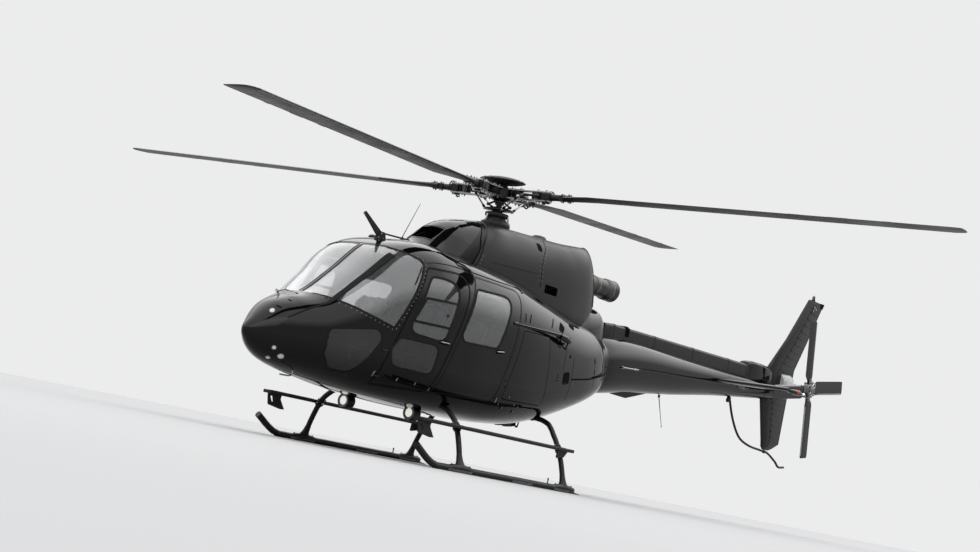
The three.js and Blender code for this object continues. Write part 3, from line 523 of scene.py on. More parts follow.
class Surface:
    """A smooth surface through a table of rounded-box sections, as in the part's source."""

    def __init__(self, table, round_start=False, smooth=True):
        self.rows = np.array(table, float)
        self.round_start = round_start
        self.smooth = smooth
        self.last = len(table) - 1
        self.fine = np.linspace(0, self.last, 1500)
        self.stations = self.rows_at(self.fine)[:, 0]

    def rows_at(self, u):
        rows = self.rows
        u = np.atleast_1d(np.asarray(u, float))
        i = np.clip(np.floor(u).astype(int), 0, self.last - 1)
        t = (u - i)[:, None]
        q, r = rows[i], rows[i + 1]
        if not self.smooth:
            return q + t * (r - q)
        p, s = rows[np.maximum(i - 1, 0)].copy(), rows[np.minimum(i + 2, self.last)]
        if self.round_start:
            mirror = 2 * rows[0] - rows[1]
            mirror[[0, 5, 6]] = rows[1][[0, 5, 6]]
            p[i == 0] = mirror
        return q + 0.5 * t * (r - p + t * (2 * p - 5 * q + 4 * r - s + t * (3 * (q - r) + s - p)))

    def u_at(self, y):
        """Where along the table a station lies."""
        return np.interp(y, self.stations, self.fine)

    def top(self, y):
        return self.rows_at(self.u_at(y))[0][3]

    def shape(self, u, angle):
        y, w, middle, top, bottom, upper, lower = self.rows_at(u).T
        c, s = np.cos(angle), np.sin(angle)
        power = 2 / np.where(s >= 0, upper, lower)
        rise = np.where(s >= 0, top - middle, middle - bottom)
        x = w * np.sign(c) * np.abs(c) ** power
        z = middle + rise * np.sign(s) * np.abs(s) ** power
        return np.stack([x, np.broadcast_to(y, x.shape), z], axis=1)

    def normal(self, u, angle):
        tiny = 0.004
        u, angle = np.broadcast_arrays(np.asarray(u, float), np.asarray(angle, float))
        after, before = np.minimum(u + tiny, self.last), np.maximum(u - tiny, 0.0)
        along = self.shape(after, angle) - self.shape(before, angle)
        around = self.shape(u, angle + tiny) - self.shape(u, angle - tiny)
        out = np.cross(along, around)
        return out / np.maximum(np.linalg.norm(out, axis=1), 1e-9)[:, None]

    def ring(self, y, angles):
        """Points and normals of the section at a station."""
        u = np.full(len(angles), self.u_at(y))
        return self.shape(u, angles), self.normal(u, angles)

    def lookup(self, points):
        """The u and angle of points on or near the surface."""
        x, y, z = np.asarray(points, float).T
        u = self.u_at(y)
        _, w, middle, top, bottom, upper, lower = self.rows_at(u).T
        over = z >= middle
        rise = np.where(over, top - middle, middle - bottom)
        power = np.where(over, upper, lower) / 2
        c = (np.abs(x) / np.maximum(w, 1e-6)) ** power * np.sign(x)
        s = (np.abs(z - middle) / np.maximum(rise, 1e-6)) ** power * np.sign(z - middle)
        return u, np.arctan2(s, c)

    def side_x(self, y, z):
        """Half width of the surface at a station and height."""
        _, w, middle, top, bottom, upper, lower = self.rows_at(self.u_at(y))[0]
        rise, power = (top - middle, upper) if z >= middle else (middle - bottom, lower)
        share = min(abs(z - middle) / rise, 1)
        return w * (1 - share ** power) ** (1 / power)

    def raised(self, spot, lift):
        """A point moved outwards by a lift, and the outward normal there."""
        u, angle = self.lookup([spot])
        normal = self.normal(u, angle)[0]
        return Vector(np.array(spot) + normal * lift), Vector(normal)

    def side_point(self, side, y, z, lift=0.0):
        """The surface's point and normal at a station and height on one side."""
        return self.raised((side * self.side_x(y, z), y, z), lift)

    def over_point(self, x, y):
        """The upper point and normal at a distance from the middle and a station."""
        _, w, middle, top, _, upper, _ = self.rows_at(self.u_at(y))[0]
        z = middle + (top - middle) * (1 - (abs(x) / w) ** upper) ** (1 / upper)
        return self.raised((x, y, z), 0)

    def under_point(self, x, y):
        _, w, middle, _, bottom, _, lower = self.rows_at(self.u_at(y))[0]
        z = middle - (middle - bottom) * (1 - (abs(x) / w) ** lower) ** (1 / lower)
        return self.raised((x, y, z), 0)

    def skin(self, us, angles, depth=0.0, nose=None):
        """A closed shape of the surface moved inwards by a depth; nose is the point that ends it in front."""
        rings = []
        for u in us:
            u = np.full(len(angles), u)
            rings.append(self.shape(u, angles) - self.normal(u, angles) * depth)
        points, faces = lofted(rings)
        if nose is not None:
            count = len(angles)
            faces = [f for f in faces if len(f) == 4 or f[0] != count - 1]
            points = np.concatenate([points, [nose]])
            faces += [(len(points) - 1, (i + 1) % count, i) for i in range(count)]
        return points, faces


def even_angles(count, power=2.9):
    """Section angles that give evenly spaced points on a rounded box."""
    fine = np.linspace(0, math.pi / 2, 2000)
    x, z = np.cos(fine) ** (2 / power), 1.1 * np.sin(fine) ** (2 / power)
    length = np.concatenate([[0], np.cumsum(np.hypot(np.diff(x), np.diff(z)))])
    quarter = np.interp((np.arange(count // 4) + 0.5) / (count // 4) * length[-1], length, fine)
    return np.concatenate([quarter, math.pi - quarter[::-1], math.pi + quarter, 2 * math.pi - quarter[::-1]])


body = Surface(BODY, round_start=True)
boom = Surface(BOOM)
cowl = Surface(COWL)

LAID_ON = 0.75


def polish(mesh, surface):
    """Gives faces that lie along a surface its exact normals, and keeps the cut edges flat."""
    mesh.shade_smooth()
    u, angle = surface.lookup(mesh_points(mesh))
    exact = surface.normal(u, angle)
    facing = np.empty(len(mesh.polygons) * 3)
    mesh.polygons.foreach_get("normal", facing)
    facing = facing.reshape(-1, 3)
    corner = np.empty(len(mesh.loops), dtype=np.int64)
    mesh.loops.foreach_get("vertex_index", corner)
    sizes = np.empty(len(mesh.polygons), dtype=np.int64)
    mesh.polygons.foreach_get("loop_total", sizes)
    owner = np.repeat(np.arange(len(sizes)), sizes)
    along = exact[corner]
    match = np.sum(along * facing[owner], axis=1)
    steady = np.full(len(sizes), 2.0)
    np.minimum.at(steady, owner, np.abs(match))
    use = steady[owner] > LAID_ON
    final = np.where(use[:, None], along * np.sign(match)[:, None], facing[owner])
    mesh.normals_split_custom_set([tuple(n) for n in final])


def surfaced(name, mesh, material, surface, rider="airframe", replaces=None):
    """A finished piece from a mesh that was cut out of a surface."""
    polish(mesh, surface)
    settle(new_object(name, mesh), material, rider, replaces)


# Side-view outlines of the panels: station, height, corner radius

AHEAD = -3500
UNDER = 200
OVER = 2500
WALL = 30
PANEL_GAP = 1
DOOR_GAP = 8
SLIDE_GAP = 3
GLASS_RECESS = 3
GLASS_DEPTH = 8
GLASS_GAP = 1.5
SEAM_NOSE = -2060
SEAM_TAIL = 2020
FRONT_DOOR = (
    (-2100, 665, 50), (-2110, 880, 150), (-1925, 1460, 300), (-1760, 1905, 90), (-1125, 1950, 190),
    (-1545, 697, 50),
)
REAR_DOOR = ((-1507, 700, 30), (-1075, 1962, 40), (-232, 1965, 110), (-350, 1618, 300), (-608, 748, 60))
WINDSCREEN = (
    (-2950, 1490, 0), (-2062, 1241, 30), (-1886, 1624, 300), (-1770, 1945, 60), (-1960, 2030, 0),
    (-2600, 2500, 0),
)
POST = 22
CHIN_WINDOW = (
    (-2672, 857, 80), (-2684, 1103, 90), (-2195, 1200, 70), (-2157, 1104, 60), (-2348, 731, 90),
    (-2535, 729, 90),
)
DOOR_WINDOW = ((-1914, 1238, 90), (-1717, 1822, 90), (-1315, 1829, 170), (-1492, 1211, 110))
DOOR_LOWER_WINDOW = (
    (-2050, 1033, 60), (-1986, 1168, 80), (-1527, 1169, 90), (-1574, 873, 90), (-2022, 878, 90),
)
REAR_WINDOW = ((-1297, 1267, 90), (-1072, 1824, 60), (-448, 1850, 110), (-702, 1293, 90))
BAGGAGE_DOOR = ((-506, 805, 60), (-277, 1562, 40), (250, 1575, 40), (270, 835, 60))
NOSE_REGION = (
    (AHEAD, 1645, 0), (-2062, 1241, 0), (-1960, 1200, 0), (SEAM_NOSE, 950, 0), (SEAM_NOSE, 300, 0),
    (AHEAD, 300, 0),
)
SILL = ((-2086, 692), (-552, 759))
NOSE_END = SEAM_NOSE - 200
SCREEN_SPAN = (-3300, -1500)
POST_SPAN = (1200, 2400)
REAR_START = -900
TAIL_WALL = 150
ARCHES = {"front": (-1120, 632), "rear": (612, 722)}
TUBE_ROOM = {"half": 900, "radius": 31}
BULKHEAD = {"y": -190, "z": 2000, "lean": 0.305}


def sill_height(y):
    (y0, z0), (y1, z1) = SILL
    return z0 + (z1 - z0) * (y - y0) / (y1 - y0)


def below_sill(drop, y0, y1):
    corners = (
        (y0, UNDER, 0), (y0, sill_height(y0) - drop, 0),
        (y1, sill_height(y1) - drop, 0), (y1, UNDER, 0),
    )
    return side_prism(corners, -REACH, REACH)


def ahead_of_bulkhead(gap):
    def edge(z):
        return BULKHEAD["y"] - (BULKHEAD["z"] - z) * BULKHEAD["lean"] - gap

    corners = ((AHEAD, UNDER, 0), (AHEAD, OVER, 0), (edge(OVER), OVER, 0), (edge(UNDER), UNDER, 0))
    return side_prism(corners, -REACH, REACH)


def half_prism(corners, side):
    x0, x1 = (0, REACH) if side > 0 else (-REACH, 0)
    return tool(side_prism(corners, x0, x1))


def full_prism(corners):
    return tool(side_prism(corners, -REACH, REACH))


def tube_room(leg):
    """Clearance for the cross tube that runs under the floor."""
    y, z = ARCHES[leg]
    return tool(swept([(-TUBE_ROOM["half"], y, z), (TUBE_ROOM["half"], y, z)], TUBE_ROOM["radius"]))


BODY_US = np.concatenate([[0.12, 0.25, 0.4, 0.55, 0.7, 0.85], np.linspace(1, 16, 106)])
ANGLES = even_angles(96)


def body_volume(depth):
    first = body.shape(np.array([0.0]), np.array([0.0]))[0] + (0, depth, 0)
    return tool(body.skin(BODY_US, ANGLES, depth, nose=first))


outer = body_volume(0)
inner = body_volume(WALL)
shell = tool_object(carved(outer, less(inner)))
glass_band = tool_object(carved(body_volume(GLASS_RECESS), less(body_volume(GLASS_RECESS + GLASS_DEPTH))))
door_holes = [half_prism(corners, side) for corners in (FRONT_DOOR, REAR_DOOR) for _, side in SIDES]
chin_holes = [half_prism(CHIN_WINDOW, side) for _, side in SIDES]
centre_post = tool(block(-POST, POST, *SCREEN_SPAN, *POST_SPAN))
screen_opening = tool_object(carved(full_prism(WINDSCREEN), less(centre_post)))


def rear_length(trim, gap):
    """Everything behind the bulkhead, up to a trim short of the tail seam."""
    ends = tool(block(-REACH, REACH, REAR_START, SEAM_TAIL - trim, UNDER, OVER))
    return carved(ends, less(tool(ahead_of_bulkhead(gap))))


def make_body_panels():
    nose = carved(shell, within(full_prism(NOSE_REGION)) + less(*door_holes, *chin_holes))
    surfaced("nose_panel", nose, GLOSS, body, replaces="nose_shell")

    cabin = within(tool(ahead_of_bulkhead(PANEL_GAP)))
    cleared = full_prism(inset(NOSE_REGION, -PANEL_GAP))
    below = tool(below_sill(0, NOSE_END, 0))
    canopy = carved(shell, cabin + less(cleared, below, *door_holes, screen_opening))
    surfaced("canopy_panel", canopy, GLOSS, body, replaces="cabin_canopy")

    under = within(tool(below_sill(PANEL_GAP, SEAM_NOSE + PANEL_GAP, 0)))
    belly = carved(shell, under + cabin + less(*door_holes, tube_room("front")))
    surfaced("belly_panel", belly, GLOSS, body, replaces="belly_shell")

    hollow = tool_object(rear_length(TAIL_WALL, -WALL))
    hollow = tool_object(carved(hollow, within(inner)))
    holes = [half_prism(BAGGAGE_DOOR, side) for _, side in SIDES]
    length = tool_object(rear_length(PANEL_GAP, 0))
    rear = carved(outer, within(length) + less(hollow, *holes, tube_room("rear")))
    surfaced("rear_panel", rear, GLOSS, body, replaces="rear_fuselage")


DOORS = (
    # node, outline, gap all round, windows, hinged
    ("front_door", FRONT_DOOR, DOOR_GAP, (DOOR_WINDOW, DOOR_LOWER_WINDOW), True),
    ("rear_door", REAR_DOOR, SLIDE_GAP, (REAR_WINDOW,), False),
    ("baggage_door", BAGGAGE_DOOR, DOOR_GAP, (), True),
)
PANES = (
    # node, outline, glass, on the front door
    ("chin_window", CHIN_WINDOW, CHIN_GLASS, False),
    ("door_window", DOOR_WINDOW, GLASS, True),
    ("door_lower_window", DOOR_LOWER_WINDOW, CHIN_GLASS, True),
    ("rear_window", REAR_WINDOW, GLASS, False),
)


def make_doors():
    for name, side in SIDES:
        for node, corners, gap, windows, hinged in DOORS:
            holes = [half_prism(window, side) for window in windows]
            panel = carved(shell, within(half_prism(inset(corners, gap), side)) + less(*holes))
            rider = f"{node}_{name}" if hinged else "airframe"
            surfaced(f"{node}_panel_{name}", panel, GLOSS, body, rider, f"{node}_{name}")


def make_panes():
    for name, side in SIDES:
        for node, corners, glass, on_door in PANES:
            pane = carved(glass_band, within(half_prism(inset(corners, GLASS_GAP), side)))
            rider = f"front_door_{name}" if on_door else "airframe"
            surfaced(f"{node}_pane_{name}", pane, glass, body, rider, f"{node}_{name}")
        edge = POST + GLASS_GAP
        x0, x1 = (edge, REACH) if side > 0 else (-REACH, -edge)
        half = tool(block(x0, x1, *SCREEN_SPAN, UNDER, OVER))
        screen = carved(glass_band, within(full_prism(inset(WINDSCREEN, GLASS_GAP)), half))
        surfaced(f"windscreen_pane_{name}", screen, SCREEN_GLASS, body, replaces=f"windscreen_{name}")


make_body_panels()
make_doors()
make_panes()

# Small shapes laid on a surface

RIBBON_STEP = 22
OVER_STEP = 20
STRIP_CREST = 0.86


def along_line(points, gap):
    """Points at even steps along a broken line."""
    p = np.asarray(points, float)
    length = np.concatenate([[0], np.cumsum(np.linalg.norm(np.diff(p, axis=0), axis=1))])
    count = max(int(round(length[-1] / gap)), 1) + 1
    spots = np.linspace(0, length[-1], count)
    return np.stack([np.interp(spots, length, p[:, k]) for k in range(p.shape[1])], axis=1)


def strip(spots, ups, width, lift, depth=4.0, closed=False):
    """A flat strip through points with a normal at each."""
    spots, ups = np.array(spots), np.array(ups)
    if closed:
        ahead = np.roll(spots, -1, axis=0) - np.roll(spots, 1, axis=0)
    else:
        ahead = np.gradient(spots, axis=0)
    across = np.cross(ahead, ups)
    across *= width / 2 / np.linalg.norm(across, axis=1)[:, None]
    crest = across * STRIP_CREST
    low, high = spots - ups * depth, spots + ups * lift
    rings = np.stack([low - across, high - crest, high + crest, low + across], axis=1)
    return lofted(rings, "joined" if closed else "capped")


def ribbon(surface, side, line, width, lift, depth=4.0, closed=False):
    """A strip that follows a side-view line on a surface."""
    line = np.asarray(line, float)
    if closed:
        line = along_line(np.concatenate([line, line[:1]]), RIBBON_STEP)[:-1]
    else:
        line = along_line(line, RIBBON_STEP)
    spots, ups = zip(*[surface.side_point(side, y, z) for y, z in line])
    return strip(spots, ups, width, lift, depth, closed)


def over_strip(line, width, lift):
    """A strip over the body's upper side through points of (distance from the middle, station)."""
    spots, ups = zip(*[body.over_point(x, y) for x, y in along_line(line, OVER_STEP)])
    return strip(spots, ups, width, lift)


def stud(spot, up, radius, height, sides):
    """A low domed head that stands on a surface."""
    profile = [(radius, -2), (radius, height * 0.3), (radius * 0.7, height * 0.85), (THINNEST, height)]
    return turned(profile, spot, up, sides)


def dots(surface, side, line, gap, radius, height=1.6, sides=8):
    """Rivet or screw heads at even steps along a side-view line."""
    return [stud(*surface.side_point(side, y, z), radius, height, sides) for y, z in along_line(line, gap)]


# Cowls over the gearbox and engine

COWL_WALL = 12
COWL_SEAMS = ({"y": -1197, "z": 2221, "lean": 1.33}, {"y": -690, "z": 2200, "lean": 0.69})
COWL_ENDS = (-1600, 2600)
COWL_HEIGHTS = (1500, 3200)
COWL_HOLLOW_START = -1300
COWL_SIDES = 72
MAST_HOLE = ((0, -200), (120, -200), (120, 200), (0, 200))
RECESS_DEPTH = 8
INLET = ((-1222, 2332, 10), (-1022, 2483, 10), (-942, 2380, 10), (-1142, 2230, 10))
INLET_HALF = 165
COWL_HEEL = ((1345, 1780, 0), (1650, 2100, 0), (1700, 2100, 0), (1700, 1780, 0))
COWL_VENT = ((485, 2070, 25), (485, 2165, 25), (735, 2165, 25), (735, 2070, 25))
RECESS = (
    (-533, 2567, 0), (-633, 2414, 0), (-659, 2290, 0), (-723, 2192, 0), (-790, 2080, 0), (-700, 2080, 0),
    (-650, 2190, 0), (-600, 2300, 0), (-560, 2410, 0), (-478, 2530, 0), (-360, 2690, 0), (-430, 2690, 0),
)
COWL_RIBBONS = (
    # line, width, lift, depth
    # The first row lies sunk in the groove: a near-black strip that paints the shade on the groove's floor.
    (((-533, 2567), (-615, 2440), (-652, 2300), (-712, 2192), (-760, 2110)), 34, -5, 9),
    (((520, 2640), (470, 2530), (420, 2454), (386, 2339), (391, 2183), (395, 2110)), 9, 0.8, 4),
    (((-1139, 2264), (-1180, 2232), (-1240, 2190)), 7, 0.8, 4),
)
COWL_DASHES = {"ends": ((-462, 2203), (340, 2244)), "pitch": 46, "share": 0.55}
COWL_SCREWS = (
    # line, gap
    (((470, 2570), (395, 2420), (362, 2330), (366, 2183)), 52),
    (((560, 2600), (450, 2440), (412, 2330), (416, 2183)), 52),
    (((-600, 2240), (-640, 2150), (-660, 2110)), 42),
    (((1560, 2640), (1590, 2440), (1570, 2240), (1490, 2120)), 58),
)
COWL_HATCH = ((345, 2510), (345, 2580), (400, 2572), (400, 2505), (345, 2510))
COWL_HATCH_FILL = ((372, 2512), (372, 2574))
INTAKE_RIM = (
    (-168, -1160, 20), (0, -1188, 0), (168, -1160, 20), (168, -958, 20), (0, -982, 0), (-168, -958, 20),
)
TOP_SCOOP = ((655, 10, 2), (690, 58, 26), (740, 74, 42), (800, 80, 46), (835, 80, 44), (842, 74, 38))
INTAKE_SHADE_PLATE = (-158, 158, -1190, -900, 2185, 2198)
COWL_TAIL = 1640
REAR_LIPS = ((-4, 7), (-26, 4))
LIP_FOOT = 2105


def cowl_volume(depth, open_end=False):
    points, faces = cowl.skin(np.linspace(0, cowl.last, 64), even_angles(COWL_SIDES, 2.6), depth)
    if open_end:
        points[-COWL_SIDES:, 1] += 5
    return tool((points, faces))


def ahead_of_cowl_seam(i, gap):
    front, rear = COWL_ENDS
    low, high = COWL_HEIGHTS
    if i < 0:
        return tool(block(-REACH, REACH, front - 10, front, low, high))

    def edge(z):
        if i >= len(COWL_SEAMS):
            return rear
        seam = COWL_SEAMS[i]
        return seam["y"] + (z - seam["z"]) * seam["lean"] + gap

    corners = ((front, low, 0), (front, high, 0), (edge(high), high, 0), (max(edge(low), front + 1), low, 0))
    return full_prism(corners)


roof_cleared = body_volume(-PANEL_GAP)


def make_cowls():
    ahead = tool(block(-REACH, REACH, COWL_ENDS[0], COWL_HOLLOW_START, *COWL_HEIGHTS))
    hollow = tool_object(carved(cowl_volume(COWL_WALL, True), less(ahead)))
    skinned = tool_object(carved(cowl_volume(0), less(roof_cleared, hollow)))
    inlet = tool(side_prism(INLET, -INLET_HALF, INLET_HALF))
    mast_hole = tool(turned(MAST_HOLE, (0, 0, 2700), UP))
    groove = tool_object(carved(full_prism(RECESS), less(cowl_volume(RECESS_DEPTH))))
    pieces = (
        ("intake_cowl", GLOSS, [inlet]),
        ("main_cowl", SATIN, [groove]),
        ("engine_cowl", COWL_PAINT, [groove, mast_hole, full_prism(COWL_VENT), full_prism(COWL_HEEL)]),
    )
    for i, (name, paint, cuts) in enumerate(pieces):
        length = carved(ahead_of_cowl_seam(i, 0), less(ahead_of_cowl_seam(i - 1, PANEL_GAP)))
        mesh = carved(skinned, within(tool_object(length)) + less(*cuts))
        surfaced(f"{name}_panel", mesh, paint, cowl, replaces=name)


def make_cowl_detail():
    dark, heads = [], []
    for _, side in SIDES:
        dark += [ribbon(cowl, side, *row) for row in COWL_RIBBONS]
        dashes = along_line(COWL_DASHES["ends"], COWL_DASHES["pitch"])
        for start, end in zip(dashes, dashes[1:]):
            dark.append(ribbon(cowl, side, [start, start + (end - start) * COWL_DASHES["share"]], 7, 1.2))
        for line, gap in COWL_SCREWS:
            heads += dots(cowl, side, line, gap, 6)
        dark.append(ribbon(cowl, side, COWL_HATCH, 20, 1.5))
        dark.append(ribbon(cowl, side, COWL_HATCH_FILL, 44, 1.0))
    # The seams and dashes are near-black ribbons that paint the shade in those gaps; the first ribbon row
    # paints the groove's shade.
    piece("cowl_seams", dark, BLACK_AND_SHADE, smooth=30)
    piece("cowl_fasteners", heads, DULL_METAL, smooth=50)

    edge = rounded_outline(INTAKE_RIM, 5)
    edge = along_line(np.concatenate([edge, edge[:1]]), 20)[:-1]
    spots, ups = zip(*[cowl.over_point(x, y) for x, y in edge])
    piece("intake_rim", [strip(spots, ups, 14, 3, 5, closed=True)], GLOSS, smooth=30)
    # A near-black plate at the foot of the top intake: painted shade for the inside of the intake.
    piece("intake_shade_plate", [block(*INTAKE_SHADE_PLATE)], BLACK_AND_SHADE)

    scoop = []
    for y, half, height in TOP_SCOOP:
        z = cowl.over_point(0, y)[0].z
        ring = [(half * math.cos(a), y, z - 20 + (height + 20) * max(math.sin(a), 0) ** 0.6)
                for a in np.linspace(0, math.pi, 15)]
        scoop.append(ring + [(-half, y, z - 30), (half, y, z - 30)])
    piece("cowl_top_scoop", [lofted(scoop)], COWL_PAINT, smooth=35)

    lips = []
    for offset, radius in REAR_LIPS:
        spots, _ = cowl.ring(COWL_TAIL + offset, np.linspace(-0.1, math.pi + 0.1, 64))
        lips.append(swept(spots[spots[:, 2] > LIP_FOOT], radius, 8, 1))
    piece("cowl_rear_lip", lips, COWL_PAINT, smooth=60)


EXHAUST_FACE = (0, COWL_TAIL, 2412)
EXHAUST_PROFILE = (
    (104, 0), (108, 4), (112, 12), (112, 270), (118, 274), (118, 292), (112, 296), (112, 515), (122, 523),
    (126, 535), (126, 684), (129, 688), (129, 699), (118, 700), (117, 560), (100, 500), (98, 20),
)
EXHAUST_CLAMPS = ((330, 113.5), (600, 127.5))
DRAIN_LINES = ((-60, 90), (-20, 130), (45, 110))
ENGINE_CORE = (
    (20, 0), (150, 10), (165, 100), (130, 160), (130, 300), (175, 360), (175, 550), (140, 620), (120, 770),
    (20, 775),
)
ENGINE_FRONT = (0, 642, 2380)
ENGINE_CASE = (-150, 150, 660, 1000, 2160, 2300, 30)
ENGINE_PIPES = (
    # curve, radius
    (((120, 700, 2300), (170, 900, 2330), (160, 1250, 2290)), 22),
    (((-120, 760, 2280), (-175, 1000, 2310), (-150, 1300, 2260)), 18),
)
COWL_END_SHADE = {"ends": (1560, 1566), "inset": 16, "foot": 1990}
MAST_FOOT = 2690
ACTUATOR_ANGLES = (20, 140, 260)
MAST_BOOT = (
    (160, -35), (165, -20), (164, 0), (156, 14), (128, 34), (112, 58), (102, 66), (100, 76), (124, 80),
    (130, 86), (130, 114), (124, 120), (90, 123), (64, 130), (52, 150), (48, 190), (10, 190),
)


def make_power():
    nozzle = turned(EXHAUST_PROFILE, EXHAUST_FACE, AFT, 48, "joined")
    piece("exhaust_nozzle", [nozzle], EXHAUST, smooth=35, replaces="exhaust_pipe")
    x, y, z = EXHAUST_FACE
    clamps = [washer(radius - 4, radius, 9, 2, (x, y + offset, z), AFT, 48)
              for offset, radius in EXHAUST_CLAMPS]
    piece("exhaust_clamps", clamps, DULL_METAL, smooth=30)
    drains = [swept([(x, y, 2260), (x, y + 10, 2235), (x, y + 10 + reach, 2228)], 6, 8)
              for x, reach in DRAIN_LINES]
    piece("exhaust_drain_lines", drains, STEEL, smooth=60)

    core = [turned(ENGINE_CORE, ENGINE_FRONT, AFT, 40), rounded_block(*ENGINE_CASE)]
    core += [swept(curve, radius, 12) for curve, radius in ENGINE_PIPES]
    piece("engine_core", core, DULL_METAL, smooth=35, replaces="engine_block")

    # A near-black sheet that closes the cowl's hollow behind the engine: painted shade for the inside of the
    # cowl.
    spots, ups = cowl.ring(COWL_END_SHADE["ends"][0], np.linspace(-0.9, math.pi + 0.9, 60))
    wall = [(x, max(z, COWL_END_SHADE["foot"])) for x, _, z in spots - ups * COWL_END_SHADE["inset"]]
    rings = [[(x, y, z) for x, z in wall] for y in COWL_END_SHADE["ends"]]
    piece("cowl_end_shade", [lofted(rings)], BLACK_AND_SHADE, smooth=30)


def make_mast_foot():
    boot = turned(MAST_BOOT, (0, 0, MAST_FOOT), UP, 48)
    piece("mast_gaiter", [boot], TRIM, smooth=35, replaces="mast_boot")
    links = []
    for angle in ACTUATOR_ANGLES:
        c, s = math.cos(math.radians(angle)), math.sin(math.radians(angle))
        foot = Vector((150 * c, 150 * s, MAST_FOOT))
        links.append(swept([foot + Vector((0, 0, 2)), (130 * c, 130 * s, MAST_FOOT + 92)], 11, 10))
        links.append(washer(4, 18, 14, 2, foot + Vector((0, 0, 14)), (-s, c, 0), 16))
    piece("swashplate_actuators", links, STEEL)


make_cowls()
make_cowl_detail()
make_power()
make_mast_foot()

# Tail boom, fairing, fins and stabilizer

AFT_FAIRING = (
    (1500, 330, 1700, 2080, 1600, 2.2, 2), (1700, 318, 1700, 2140, 1600, 2.2, 2),
    (1950, 265, 1700, 2150, 1600, 2.2, 2), (2100, 200, 1700, 2125, 1600, 2.2, 2),
    (2180, 140, 1700, 2070, 1600, 2.2, 2), (2216, 90, 1700, 2010, 1600, 2.2, 2),
)
TAIL_END = (
    (6541, 108, 1934, 2106, 1762, 2, 2), (6565, 116, 1940, 2116, 1764, 2, 2),
    (6800, 116, 1957, 2127, 1787, 2, 2), (6835, 87, 1893, 1981, 1805, 2, 2),
    (7180, 64, 1922, 1984, 1860, 2, 2), (7290, 44, 1938, 1980, 1896, 2, 2),
    (7335, 18, 1945, 1962, 1928, 2, 2),
)
SHAFT_COVER = (
    (2232, 1990), (2250, 2030), (2420, 2046), (4000, 2066), (5600, 2086), (6100, 2090), (6146, 2070),
)
COVER_HALF = 80
COVER_STRAPS = (2450, 3330, 4210, 5090, 5560)
SADDLE_Y = 2710
SADDLE_RINGS = ((-34, 2), (-24, 12), (24, 12), (34, 2))
GEARBOX_HUMP = (
    # station, half width, top
    (5565, 40, 2085), (5590, 78, 2122), (5680, 92, 2146), (5900, 96, 2150), (6120, 90, 2140),
    (6240, 66, 2110),
)
GEARBOX_SIDE = (5, 6700, 1954)
GEARBOX_OUTPUT = (
    (20, 0), (105, 4), (105, 60), (98, 104), (70, 150), (60, 165), (60, 185), (52, 190), (52, 280), (20, 280),
)
GEARBOX_RIMS = (6575, 6786)
RIVET_RINGS = (2060, 2110, 2960, 3900, 4560, 5060, 6090, 6480)
UNDER_COVER = (1.15, 2.0)
SEAM_RINGS = ((2085, 5), (6515, 9), (6110, 3))
BOOM_LINE = {"drop": 95, "rise": 0.008, "stations": range(2150, 6450, 300)}
GUARD_FITTINGS = (
    # profile, place, direction
    (((4, 0), (30, 4), (26, 50), (17, 70)), (0, 5377, 1600), (0, -0.5, -0.87)),
    (((17, -30), (23, -20), (23, 20), (17, 30)), (0, 6500, 1024), (0, 1, -0.1)),
)
GUARD_RADIUS = 15.5
GUARD_PATH = (
    (0, 5360, 1640), (0, 5550, 1349), (0, 5785, 1134), (0, 6065, 1053), (0, 6395, 1030), (0, 6586, 1018),
    (0, 6828, 931), (0, 6951, 867), (0, 7097, 878),
)
STABILIZER = {"lead": 4620, "trail": 5000, "z": 1752, "half": 1265, "thickness": 60}
STABILIZER_TIP = (
    (0.5, -190), (10, -175), (18, -150), (27, -100), (32, -40), (33.5, 20), (32, 70), (26, 120), (18, 170),
    (9, 210), (1, 230),
)
UPPER_FIN = (
    (1900, 6165, 6925, 92), (2100, 6168, 6925, 90), (2210, 6258, 6930, 86), (2600, 6577, 7128, 76),
    (3195, 6977, 7412, 60), (3232, 7000, 7430, 40),
)
LOWER_FIN = ((1800, 6120, 6866, 80), (1165, 6368, 6850, 60), (1085, 6395, 6690, 54), (1050, 6440, 6600, 40))
POSITION_LAMP_Y = 4822
POSITION_LAMP_AIM = (0.25, 0.15)
BEACON_Y = 7124
POSITION_LAMP = ((12, -2), (19, 0), (19.5, 22), (16, 34), (8, 42), (1, 44))
LAMP_BASE = ((22, -12), (23, 0), (20, 4))
TAIL_LAMP = ((10, 0), (14.5, 4), (14, 18), (8, 27), (1, 29))
BEACON_BASE = ((24, -20), (26, 0), (26, 18), (21, 22))
BEACON_LENS = ((21, 0), (22, 28), (19, 45), (11, 56), (1, 60))
FIN_CORNER = ((7190, 3226, 4), (7432, 3240, 6), (7398, 3160, 8))
FIN_NUT = ((10, -10), (16, 0), (16, 12), (4, 16))
FIN_FITTINGS = ((7130, 3140), (7175, 3120), (7115, 3095))


def aerofoil(lead, trail, thickness, count=15, square=6.0):
    """A symmetric section as [along, across] points, with a thin square trailing edge."""
    t = (1 - np.cos(np.linspace(0, math.pi, count))) / 2
    half = thickness * (1.46 * np.sqrt(t) - 0.62 * t - 1.72 * t ** 2 + 1.38 * t ** 3 - 0.5 * t ** 4)
    half = np.maximum(half * 0.98, 0) * (1 - t) + np.maximum(half, square / 2) * t
    along = lead + (trail - lead) * t
    upper = np.stack([along, half], axis=1)
    return np.concatenate([upper, upper[::-1][:-1] * (1, -1)])


def arch(y, half, foot, top, splay=5, drop=26, crown=None, rounds=(4, 20, 24)):
    """A ring across the boom: splayed feet, shoulders a drop below the top and a rounded crown."""
    crown = half - 22 if crown is None else crown
    foot_round, shoulder_round, crown_round = rounds
    right = [(half + splay, foot, foot_round), (half, top - drop, shoulder_round), (crown, top, crown_round)]
    left = [(-x, z, radius) for x, z, radius in reversed(right)]
    return [(x, y, z) for x, z in rounded_outline(left[-1:] + right + left[:-1], 4)]


def cover_top(y):
    return np.interp(y, *np.array(SHAFT_COVER).T)


